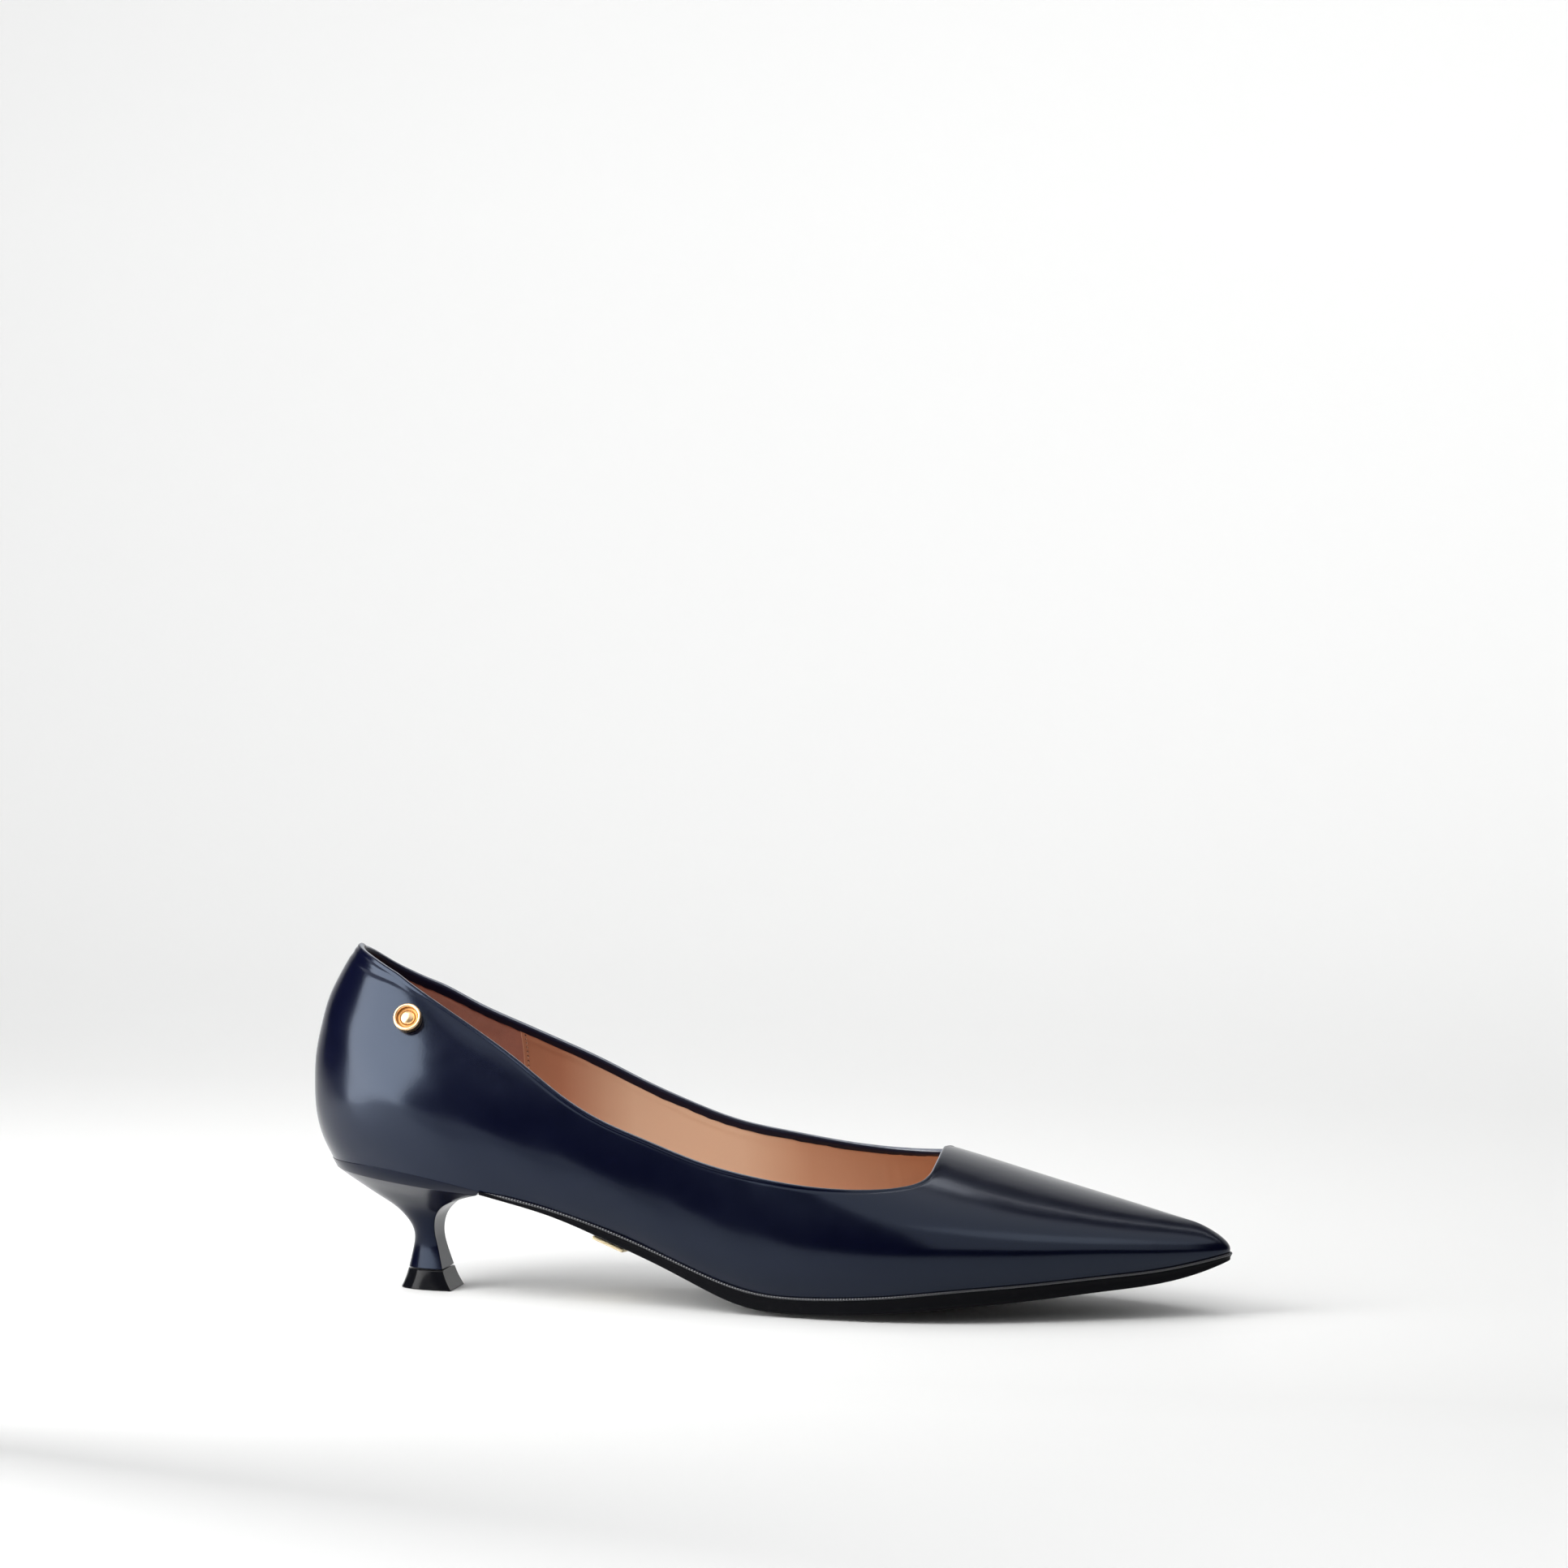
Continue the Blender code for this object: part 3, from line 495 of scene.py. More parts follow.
class Skin:
    """Fine grid on the outer skin of the upper, with its topline and directions."""

    def __init__(self, heel_lines=92, throat_lines=44, toe_lines=60, rows=46):
        corner = float(turn_of(THROAT[1][0]))
        middle = float(turn_of(THROAT_MIDDLE))
        seam = float(turn_of(SEAM_PLACE))
        behind = np.linspace(0.0, corner, heel_lines + 1)
        self.seam = int(np.argmin(abs(behind - seam)))
        behind[self.seam] = seam
        turns = np.concatenate([behind, np.linspace(corner, middle, throat_lines + 1)[1:],
                                np.linspace(middle, math.pi, toe_lines + 1)[1:]])
        self.throat = heel_lines + throat_lines
        self.turn = np.concatenate([turns, turns[-2:0:-1]])
        self.side = np.concatenate([np.full(len(turns), OUTER), np.full(len(turns) - 2, INNER)])
        self.count = len(self.turn)
        end_turn, end_rise = line_ends(self.turn, self.side)
        share = 1 - (1 - np.arange(rows + 1) / rows) ** 1.5
        at = self.turn[:, None] + (end_turn - self.turn)[:, None] * share ** 2
        rise = end_rise[:, None] * share
        side = np.broadcast_to(self.side[:, None], at.shape)
        self.points = last_points(at, side, rise)
        self.normals = last_normals(at, side, rise)
        self.normals[:, 0, :2] = plan_normals(self.turn, self.side)
        self.normals[:, 0, 2] = 0.0
        closed = end_rise >= 1.0
        both = unit(last_normals(at[closed, -1], np.full(closed.sum(), OUTER), rise[closed, -1])
                    + last_normals(at[closed, -1], np.full(closed.sum(), INNER), rise[closed, -1]))
        self.normals[closed, -1] = both
        self.ring = np.concatenate([np.arange(self.count - self.throat, self.count),
                                    np.arange(0, self.throat + 1)])
        edge = self.points[self.ring, -1]
        loop = edge[:-1]
        tangent = np.roll(loop, -1, axis=0) - np.roll(loop, 1, axis=0)
        tangent = unit(np.concatenate([tangent, tangent[:1]]))
        self.edge = edge
        self.edge_out = self.normals[self.ring, -1]
        up = unit(np.cross(self.edge_out, tangent))
        back = self.throat
        self.edge_up = up * np.sign(up[back, 2])
        self.edge_side = self.side[self.ring]
        self.distance, self.station = self.near_edge(self.points)

    def near_edge(self, points):
        """Distance to the topline and place along it, as a number of stations."""
        flat = points.reshape(-1, 3)
        distance = np.empty(len(flat))
        station = np.empty(len(flat))
        start, stop = self.edge[:-1], self.edge[1:]
        arrow = stop - start
        square = np.maximum((arrow ** 2).sum(1), 1e-16)
        for part in range(0, len(flat), 2000):
            some = flat[part:part + 2000, None] - start
            t = np.clip((some * arrow).sum(2) / square, 0.0, 1.0)
            gap = np.linalg.norm(some - t[..., None] * arrow, axis=2)
            near = gap.argmin(1)
            rows = np.arange(len(near))
            distance[part:part + 2000] = gap[rows, near]
            station[part:part + 2000] = near + t[rows, near]
        return distance.reshape(points.shape[:-1]), station.reshape(points.shape[:-1])

    def along_edge(self, values, station):
        """Values at the stations of the topline, read between them."""
        i = np.clip(station.astype(int), 0, len(values) - 2)
        t = station - i
        if values.ndim > 1:
            t = t[..., None]
        return values[i] * (1 - t) + values[i + 1] * t


def fade(distance, reach):
    return np.clip(1 - distance / reach, 0.0, 1.0) ** 2


def bump_of(value, centre, width):
    return np.exp(-((value - centre) / width) ** 2)


SKIN = Skin()


def collar_swell(along):
    """How far the padded collar stands out at the topline, round the back of the heel."""
    return COLLAR_SWELL * np.clip(1 - along / 0.085, 0.0, 1.0) ** 1.5


def edge_rise(x, side):
    """Lift of the topline, with the small step where its padding ends."""
    place = x / SOLE_LENGTH
    return EDGE_LIFT + np.where(side > 0, 0.0007 * bump_of(place, 0.072, 0.020),
                                0.0002 * bump_of(place, 0.090, 0.010))


def relief(points, distance, station):
    """Soft forms on the outer skin: rolled collar, pressed grooves and slack in the leather."""
    along = points[..., 0] / SOLE_LENGTH
    edge_along = SKIN.along_edge(SKIN.edge[:, 0], station) / SOLE_LENGTH
    height = collar_swell(edge_along) * np.exp(-(distance / COLLAR_REACH) ** 2)
    drop = GROOVE_DROP(edge_along)
    deep = GROOVE_DEEP(edge_along)
    for form, share, shift, width in COLLAR_FORMS:
        height = height + form * deep * bump_of(distance, drop * share + shift, width)
    for form, place, width in PRESSED_FORMS:
        height = height + form * bump_of(distance, place, width)
    waves = np.sin(along * 61 + points[..., 2] * 90) * np.sin(points[..., 2] * 260 + along * 23)
    calm = np.clip(distance / 0.006, 0.0, 1.0) * np.clip((0.62 - along) / 0.2, 0.0, 1.0)
    return height + SLACK_HEIGHT * waves * calm


def sizes():
    return bpy.context.scene.pump_sizes


def colours():
    return bpy.context.scene.pump_colours


def deselect():
    for item in bpy.context.selected_objects:
        item.select_set(False)


def settle(item, material_list, body="root"):
    """Gives a finished piece its materials and lets it ride on the shoe."""
    for material in material_list:
        item.data.materials.append(material)
    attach(item, body)
    return item


def grid_faces(numbers, wrap=False):
    """Faces of a grid of vertex numbers, [line][row]."""
    now = numbers if wrap else numbers[:-1]
    after = np.roll(numbers, -1, axis=0) if wrap else numbers[1:]
    corners = (now[:, :-1], after[:, :-1], after[:, 1:], now[:, 1:])
    return np.stack(corners, axis=-1).reshape(-1, 4).tolist()


class Body:
    """Collects grids of points into one closed piece."""

    def __init__(self):
        self.points = []
        self.faces = []
        self.kinds = []
        self.size = 0

    def grid(self, points):
        flat = points.reshape(-1, 3)
        numbers = np.arange(self.size, self.size + len(flat)).reshape(points.shape[:-1])
        self.points.append(flat)
        self.size += len(flat)
        return numbers

    def skin(self, numbers, wrap=False, kind=0):
        made = grid_faces(numbers, wrap)
        self.faces += made
        self.kinds += [kind] * len(made)

    def fan(self, loop, kind=0):
        self.faces.append([int(i) for i in loop])
        self.kinds.append(kind)

    def tube(self, points):
        """Rings closed round, with a cap on both ends."""
        numbers = self.grid(points)
        self.skin(np.concatenate([numbers, numbers[:, :1]], axis=1))
        self.fan(numbers[0][::-1])
        self.fan(numbers[-1])

    def build(self, name, merge=4e-6, sharp=60, attributes=None):
        points = np.concatenate(self.points) - MIDDLE
        mesh = bpy.data.meshes.new(name)
        mesh.from_pydata(points.tolist(), [], self.faces)
        mesh.polygons.foreach_set("material_index", self.kinds)
        for key, values in (attributes or {}).items():
            layer = mesh.attributes.new(key, "FLOAT", "POINT")
            layer.data.foreach_set("value", np.asarray(values, np.float32))
        bm = bmesh.new()
        bm.from_mesh(mesh)
        bmesh.ops.remove_doubles(bm, verts=bm.verts, dist=merge)
        bmesh.ops.recalc_face_normals(bm, faces=bm.faces)
        if bm.calc_volume(signed=True) < 0:
            bmesh.ops.reverse_faces(bm, faces=bm.faces)
        loose = [edge for edge in bm.edges if len(edge.link_faces) != 2]
        if loose:
            print(f"{name}: {len(loose)} open edges")
        bm.to_mesh(mesh)
        bm.free()
        mesh.polygons.foreach_set("use_smooth", [True] * len(mesh.polygons))
        mesh.set_sharp_from_angle(angle=math.radians(sharp))
        item = bpy.data.objects.new(name, mesh)
        bpy.context.scene.collection.objects.link(item)
        return item


def thinned_rows(step):
    """Every so-many row of the skin, and the last one."""
    last = SKIN.points.shape[1] - 1
    return np.array([*range(0, last, step), last])


def inset_points(rows, depth, start):
    """Skin points moved in by a depth, with the topline end drawn down to a distance."""
    points, normals = SKIN.points[:, rows], SKIN.normals[:, rows]
    distance, station = SKIN.distance[:, rows], SKIN.station[:, rows]
    up = SKIN.along_edge(SKIN.edge_up, station)
    rise = edge_rise(SKIN.along_edge(SKIN.edge[:, 0], station),
                     SKIN.along_edge(SKIN.edge_side.astype(float), station))
    shift = (start - rise) * fade(distance, 0.011)
    return points - up * shift[..., None] - normals * np.asarray(depth)[..., None], distance, station


# Materials

def new_group(name, inputs, outputs):
    tree = bpy.data.node_groups.new(name, "ShaderNodeTree")
    for label, default in inputs:
        socket = tree.interface.new_socket(name=label, in_out="INPUT", socket_type="NodeSocketFloat")
        socket.default_value = default
    for label, kind in outputs:
        tree.interface.new_socket(name=label, in_out="OUTPUT", socket_type=kind)
    return tree, tree.nodes.new("NodeGroupInput"), tree.nodes.new("NodeGroupOutput")


def node(tree, kind, links=None, **values):
    """A node with its settings, its plain inputs and the sockets that feed it."""
    made = tree.nodes.new(kind)
    for key, value in values.items():
        setattr(made, key, value)
    for key, source in (links or {}).items():
        if isinstance(source, (int, float, tuple)):
            made.inputs[key].default_value = source
        else:
            tree.links.new(source, made.inputs[key])
    return made


def maths(tree, operation, first, second=0.0, third=0.0, clamp=False):
    made = tree.nodes.new("ShaderNodeMath")
    made.operation = operation
    made.use_clamp = clamp
    for slot, source in enumerate((first, second, third)):
        if isinstance(source, (int, float)):
            made.inputs[slot].default_value = source
        else:
            tree.links.new(source, made.inputs[slot])
    return made.outputs[0]


def mix_colour(tree, mask, first, second):
    made = tree.nodes.new("ShaderNodeMix")
    made.data_type = "RGBA"
    for slot, source in ((0, mask), (6, first), (7, second)):
        if isinstance(source, tuple):
            made.inputs[slot].default_value = (*source[:3], 1.0)
        else:
            tree.links.new(source, made.inputs[slot])
    return made.outputs[2]


def ramp(tree, source, start, slope):
    """0 up to the start, then rising with the slope to 1. A falling slope rises the other way."""
    return maths(tree, "MULTIPLY", maths(tree, "SUBTRACT", source, start), slope, clamp=True)


def cast_of(base, share):
    """Colour scaled as a whole or by channel."""
    shares = share if isinstance(share, tuple) else (share,) * 3
    return tuple(c * s for c, s in zip(base, shares))


def paint(tree, shader, mask, first, second):
    tone = mix_colour(tree, mask, first, second)
    tree.links.new(tone, shader.inputs["Base Color"])


def roughen(tree, shader, mask, reach, start):
    tree.links.new(maths(tree, "MULTIPLY_ADD", mask, reach, start), shader.inputs["Roughness"])


def noise(tree, scale, detail, **values):
    links = {"Vector": place_of(tree), "Scale": scale, "Detail": detail, **values}
    return node(tree, "ShaderNodeTexNoise", links).outputs["Fac"]


def shared(name):
    """Makes a material once under this name, and hands out the same one afterwards."""
    def wrap(make):
        def fetch():
            return bpy.data.materials.get(name) or make(name)
        return fetch
    return wrap


def place_of(tree):
    return tree.nodes.new("ShaderNodeTexCoord").outputs["Object"]


def leather_grain():
    """Fine pores and pebbles of finished calf, with slow waves in the hide."""
    name = "calf_grain"
    if name in bpy.data.node_groups:
        return bpy.data.node_groups[name]
    tree, start, end = new_group(
        name, [("Pebble", 1900.0), ("Wave", 55.0)],
        [("Height", "NodeSocketFloat"), ("Slack", "NodeSocketFloat"), ("Cloud", "NodeSocketFloat")])
    cells = node(tree, "ShaderNodeTexVoronoi", {"Vector": place_of(tree), "Scale": start.outputs["Pebble"]},
                 feature="SMOOTH_F1")
    height = maths(tree, "MULTIPLY_ADD", cells.outputs["Distance"], -0.7,
                   maths(tree, "MULTIPLY", noise(tree, 4200.0, 3.0), 0.5))
    tree.links.new(height, end.inputs["Height"])
    tree.links.new(noise(tree, start.outputs["Wave"], 2.0, Roughness=0.45), end.inputs["Slack"])
    tree.links.new(noise(tree, 130.0, 5.0), end.inputs["Cloud"])
    return tree


def rubbed_edges():
    """Mask that is high on corners that hands and floor rub bright."""
    name = "rubbed_edges"
    if name in bpy.data.node_groups:
        return bpy.data.node_groups[name]
    tree, start, end = new_group(name, [("Amount", 1.0)], [("Mask", "NodeSocketFloat")])
    geometry = tree.nodes.new("ShaderNodeNewGeometry")
    sharp = ramp(tree, geometry.outputs["Pointiness"], 0.53, 9.0)
    patch = ramp(tree, noise(tree, 380.0, 4.0), 0.42, 3.0)
    tree.links.new(maths(tree, "MULTIPLY", maths(tree, "MULTIPLY", sharp, patch),
                         start.outputs["Amount"]), end.inputs["Mask"])
    return tree


def new_material(name, colour, roughness, metallic=0.0, coat=0.0, coat_roughness=0.05, specular=0.5):
    material = bpy.data.materials.new(name)
    material.use_nodes = True
    tree = material.node_tree
    shader = tree.nodes["Principled BSDF"]
    shader.inputs["Base Color"].default_value = (*colour[:3], 1.0)
    shader.inputs["Roughness"].default_value = roughness
    shader.inputs["Metallic"].default_value = metallic
    shader.inputs["Coat Weight"].default_value = coat
    shader.inputs["Coat Roughness"].default_value = coat_roughness
    shader.inputs["Specular IOR Level"].default_value = specular
    material.diffuse_color = (*colour[:3], 1.0)
    return material, tree, shader


def use_group(tree, group, **values):
    made = tree.nodes.new("ShaderNodeGroup")
    made.node_tree = group
    for key, value in values.items():
        made.inputs[key].default_value = value
    return made


def add_bump(tree, shader, height, strength, distance, before=None):
    made = node(tree, "ShaderNodeBump", {"Height": height, "Strength": strength, "Distance": distance})
    if before is not None:
        tree.links.new(before, made.inputs["Normal"])
    tree.links.new(made.outputs["Normal"], shader.inputs["Normal"])
    return made.outputs["Normal"]


def grained(tree, shader, base, tones, pebble, wave, slack, height):
    """Leather's clouded colour over two bumps, each given as strength and distance."""
    grain = use_group(tree, leather_grain(), Pebble=pebble, Wave=wave)
    paint(tree, shader, grain.outputs["Cloud"], cast_of(base, tones[0]), cast_of(base, tones[1]))
    folds = add_bump(tree, shader, grain.outputs["Slack"], *slack)
    add_bump(tree, shader, grain.outputs["Height"], *height, folds)
    return grain.outputs["Cloud"]


@shared("polished_navy_leather")
def navy_leather(name):
    """Polished navy calf."""
    base = tuple(colours().leather)
    material, tree, shader = new_material(name, base, 0.20, coat=0.06, coat_roughness=0.08, specular=0.36)
    shader.inputs["Specular Tint"].default_value = POLISH_TINT
    cloud = grained(tree, shader, base, (0.82, 1.2), 1900.0, 50.0, (0.35, 0.0006), (0.10, 0.0001))
    roughen(tree, shader, cloud, 0.08, 0.16)
    return material


@shared("navy_facing_leather")
def facing_leather(name):
    """Navy facing folded in over the topline, less polished than the upper."""
    base = cast_of(colours().leather, 1.6)
    material, tree, shader = new_material(name, base, 0.42, specular=0.22)
    grained(tree, shader, base, (0.8, 1.25), 1900.0, 70.0, (0.4, 0.0005), (0.16, 0.0001))
    return material


@shared("burnished_topline")
def topline_highlight(name):
    """Painted highlight on the ridge of the folded topline, clouded lighter and darker."""
    material, tree, shader = new_material(name, (0.040, 0.050, 0.080), 0.34, coat=0.2, coat_roughness=0.15)
    highlight_noise = noise(tree, 700.0, 4.0)
    # Painted highlight: light grey-blue tones on the topline's ridge
    paint(tree, shader, highlight_noise, (0.07, 0.08, 0.105), (0.19, 0.21, 0.25))
    add_bump(tree, shader, highlight_noise, 0.15, 0.0001)
    return material


@shared("tan_lining_leather")
def lining_leather(name):
    """Smooth tan lining with the holes of its seam, lighter towards the toe in painted light and shade."""
    base = tuple(colours().lining)
    material, tree, shader = new_material(name, base, 0.52)
    grain = use_group(tree, leather_grain(), Pebble=1300.0, Wave=45.0)
    # Painted shade at the seam, where the near wall shades the lining
    back = cast_of(base, LINING_SEAM_SHADE)
    tone = mix_colour(tree, grain.outputs["Cloud"], cast_of(back, 0.93), cast_of(back, 1.06))
    place = node(tree, "ShaderNodeSeparateXYZ", {"Vector": place_of(tree)})
    # Painted highlight along the middle of the lining, then painted shade towards the throat
    for (start, reach), cast in LINING_LIGHT_AND_SHADE:
        share = maths(tree, "DIVIDE", maths(tree, "SUBTRACT", place.outputs["X"], start), reach, clamp=True)
        tone = mix_colour(tree, share, tone, cast_of(base, cast))
    seam = node(tree, "ShaderNodeAttribute", attribute_name="seam_distance").outputs["Fac"]
    run = node(tree, "ShaderNodeAttribute", attribute_name="seam_run").outputs["Fac"]
    across = maths(tree, "SUBTRACT", seam, sizes().stitch_margin)
    beat = maths(tree, "PINGPONG", run, sizes().stitch_pitch / 2)
    away = maths(tree, "SQRT", maths(tree, "ADD", maths(tree, "MULTIPLY", across, across),
                                     maths(tree, "MULTIPLY", beat, beat)))
    hole = maths(tree, "SUBTRACT", 1.0, maths(tree, "DIVIDE", away, HOLE_RADIUS), clamp=True)
    hole = maths(tree, "MULTIPLY", hole, 2.6, clamp=True)
    # Painted shade in the stitch holes
    tone = mix_colour(tree, hole, tone, (0.05, 0.022, 0.012))
    cut = maths(tree, "SUBTRACT", 1.0, maths(tree, "DIVIDE", maths(tree, "ABSOLUTE", seam), CUT_EDGE),
                clamp=True)
    paint(tree, shader, maths(tree, "MULTIPLY", cut, 0.6), tone, (0.80, 0.52, 0.36))
    roughen(tree, shader, grain.outputs["Cloud"], 0.16, 0.42)
    slack = add_bump(tree, shader, grain.outputs["Slack"], 0.4, 0.0005)
    pits = add_bump(tree, shader, maths(tree, "MULTIPLY", hole, -1.0), 0.8, 0.0003, slack)
    add_bump(tree, shader, grain.outputs["Height"], 0.10, 0.0001, pits)
    return material


@shared("heel_grip_suede")
def grip_suede(name):
    """Napped suede of the heel grip."""
    base = tuple(colours().suede)
    material, tree, shader = new_material(name, base, 0.95, specular=0.15)
    shader.inputs["Sheen Weight"].default_value = 0.35
    shader.inputs["Sheen Roughness"].default_value = 0.45
    nap = noise(tree, 2600.0, 4.0, Roughness=0.7)
    tone = mix_colour(tree, noise(tree, 260.0, 5.0), cast_of(base, 0.78), cast_of(base, 1.18))
    paint(tree, shader, maths(tree, "MULTIPLY", nap, 0.5), tone, cast_of(base, 0.6))
    add_bump(tree, shader, nap, 0.5, 0.00025)
    return material


@shared("satin_black_sole")
def sole_rubber(name):
    """Satin black sole with faint scuffs."""
    base = tuple(colours().sole)
    material, tree, shader = new_material(name, base, 0.38, specular=0.05)
    scuff = noise(tree, 420.0, 6.0, Roughness=0.65)
    rub = use_group(tree, rubbed_edges(), Amount=0.5)
    tone = mix_colour(tree, maths(tree, "MULTIPLY", ramp(tree, scuff, 0.56, 4.0), 0.25), base,
                      (0.016, 0.016, 0.017))
    paint(tree, shader, rub.outputs["Mask"], tone, (0.016, 0.016, 0.018))
    roughen(tree, shader, scuff, 0.3, 0.24)
    add_bump(tree, shader, noise(tree, 2800.0, 2.0), 0.15, 0.0001)
    return material


@shared("glossy_navy_heel")
def heel_lacquer(name):
    """Glossy navy cover of the moulded heel."""
    base = tuple(colours().leather)
    material, tree, shader = new_material(name, base, 0.14, specular=0.40)
    shader.inputs["IOR"].default_value = 1.32
    shader.inputs["Specular Tint"].default_value = POLISH_TINT
    cloud = grained(tree, shader, base, (0.8, 1.15), 2300.0, 80.0, (0.2, 0.0004), (0.06, 0.0001))
    roughen(tree, shader, cloud, 0.08, 0.16)
    return material


@shared("hard_black_top_piece")
def tip_plastic(name):
    """Hard glossy black of the top piece."""
    base = tuple(colours().sole)
    material, tree, shader = new_material(name, base, 0.16, specular=0.16)
    shader.inputs["IOR"].default_value = 1.4
    haze = noise(tree, 300.0, 5.0)
    roughen(tree, shader, haze, 0.10, 0.06)
    rub = use_group(tree, rubbed_edges(), Amount=0.4)
    paint(tree, shader, rub.outputs["Mask"], base, (0.06, 0.06, 0.062))
    add_bump(tree, shader, haze, 0.08, 0.0002)
    return material


@shared("waxed_black_bead")
def waxed_thread(name):
    """Dark waxed bead that glints on every mark of the wheel."""
    material, tree, shader = new_material(name, (0.012, 0.013, 0.018), 0.22, coat=0.5, coat_roughness=0.12)
    fibre = noise(tree, 2400.0, 3.0)
    paint(tree, shader, fibre, (0.006, 0.0065, 0.009), (0.024, 0.026, 0.034))
    add_bump(tree, shader, fibre, 0.3, 0.0001)
    return material


@shared("tan_thread")
def tan_thread(name):
    """Twisted tan thread of the grip's seam."""
    material, tree, shader = new_material(name, (0.62, 0.38, 0.26), 0.6)
    twist = node(tree, "ShaderNodeTexWave", {"Vector": place_of(tree), "Scale": 900.0, "Distortion": 1.0})
    paint(tree, shader, twist.outputs["Fac"], (0.52, 0.30, 0.20), (0.70, 0.44, 0.31))
    add_bump(tree, shader, twist.outputs["Fac"], 0.4, 0.0001)
    return material


@shared("pale_brushed_gilt")
def brushed_plate(name):
    """Pale brushed gilt of the waist plate."""
    material, tree, shader = new_material(name, (0.90, 0.76, 0.48), 0.5, metallic=0.75)
    brush = noise(tree, 1500.0, 4.0)
    paint(tree, shader, brush, (0.82, 0.66, 0.38), (0.96, 0.84, 0.58))
    roughen(tree, shader, brush, 0.3, 0.35)
    add_bump(tree, shader, brush, 0.1, 0.0001)
    return material


@shared("polished_gilt")
def gilt_metal(name):
    """Warm polished gilt, with painted shade in its recesses."""
    base = tuple(colours().gilt)
    material, tree, shader = new_material(name, base, 0.18, metallic=1.0)
    haze = noise(tree, 900.0, 4.0)
    geometry = tree.nodes.new("ShaderNodeNewGeometry")
    # Painted shade: darker amber where the surface is hollow
    paint(tree, shader, ramp(tree, geometry.outputs["Pointiness"], 0.50, -7.0), base, (0.42, 0.20, 0.05))
    roughen(tree, shader, haze, 0.18, 0.20)
    add_bump(tree, shader, haze, 0.05, 0.0001)
    return material


@shared("amber_gilt_recess")
def shaded_gilt_recess(name):
    """Darker amber gilt, painted shade at the bottom of the badge's groove."""
    material, tree, shader = new_material(name, (0.36, 0.17, 0.05), 0.45, metallic=1.0)
    grit = noise(tree, 3500.0, 3.0)
    paint(tree, shader, grit, (0.26, 0.11, 0.03), (0.48, 0.25, 0.09))
    add_bump(tree, shader, grit, 0.3, 0.0001)
    return material


# Pieces

RIDGE_ROWS = (2, 6)         # rows of the rolled edge that take the painted highlight, facing beyond


def facing_width(x):
    """Width of the folded facing inside the topline, with its hand-trimmed waver."""
    along = x / SOLE_LENGTH
    base = 0.0026 - 0.0007 * np.clip((along - 0.3) / 0.35, 0.0, 1.0) + 0.0004 * bump_of(along, 0.10, 0.03)
    waver = 0.00009 * np.sin(x * 1450) + 0.00007 * np.sin(x * 3170 + 1.0) + 0.00005 * np.sin(x * 610 + 2.0)
    return base + waver


class PUMP_OT_upper(bpy.types.Operator):
    """Polished upper with its rolled topline and folded facing"""
    bl_idname = "pump.add_upper"
    bl_label = "Add upper"

    def execute(self, context):
        roll = sizes().roll_height
        body = Body()
        outer, distance, station = inset_points(slice(None), np.zeros(SKIN.distance.shape), roll)
        height = relief(outer, distance, station)
        outer = outer + SKIN.normals * height[..., None]
        outer[:, 0, 2] -= UPPER_DROP
        outer_grid = body.grid(outer)
        rows = thinned_rows(5)
        tuck = roll + 0.0001
        hidden, _, _ = inset_points(rows, np.full((SKIN.count, len(rows)), LEATHER_DEPTH), tuck)
        hidden[:, 0, 2] -= UPPER_DROP
        hidden_grid = body.grid(hidden)
        body.skin(outer_grid, wrap=True)
        body.skin(hidden_grid, wrap=True)
        body.skin(np.stack([outer_grid[:, 0], hidden_grid[:, 0]], axis=1), wrap=True)
        edge, out, up = SKIN.edge, SKIN.edge_out, SKIN.edge_up
        rise = edge_rise(edge[:, 0], SKIN.edge_side)
        swell = height[SKIN.ring, -1]
        width = facing_width(edge[:, 0])
        strip = []
        for angle in np.linspace(0.0, math.pi, 11):
            depth = -swell + (WALL + swell) * (1 - math.cos(angle)) / 2
            drop = roll * (1 - math.sin(angle))
            strip.append((depth, drop + 0 * width))
        for share in (0.25, 0.5, 0.75, 1.0):
            strip.append((WALL + 0 * width, roll + (width - roll) * share))
        strip.append((WALL - 0.00012 + 0 * width, width + 0.00012))
        strip.append((WALL - 0.00038 + 0 * width, width + 0.00006))
        strip.append((LEATHER_DEPTH + 0.0002 + 0 * width, tuck + 0.0002 + 0 * width))
        strip.append((LEATHER_DEPTH + 0 * width, tuck + 0 * width))
        lines = [edge - up * (drop - rise)[:, None] - out * depth[:, None] for depth, drop in strip]
        strip_grid = body.grid(np.stack(lines, axis=1))
        body.skin(strip_grid[:, :RIDGE_ROWS[0] + 1])
        body.skin(strip_grid[:, RIDGE_ROWS[0]:RIDGE_ROWS[1] + 1], kind=2)
        body.skin(strip_grid[:, RIDGE_ROWS[1]:], kind=1)
        item = body.build("upper_leather", merge=6e-6)
        settle(item, [navy_leather(), facing_leather(), topline_highlight()])
        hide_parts("upper")
        return {"FINISHED"}


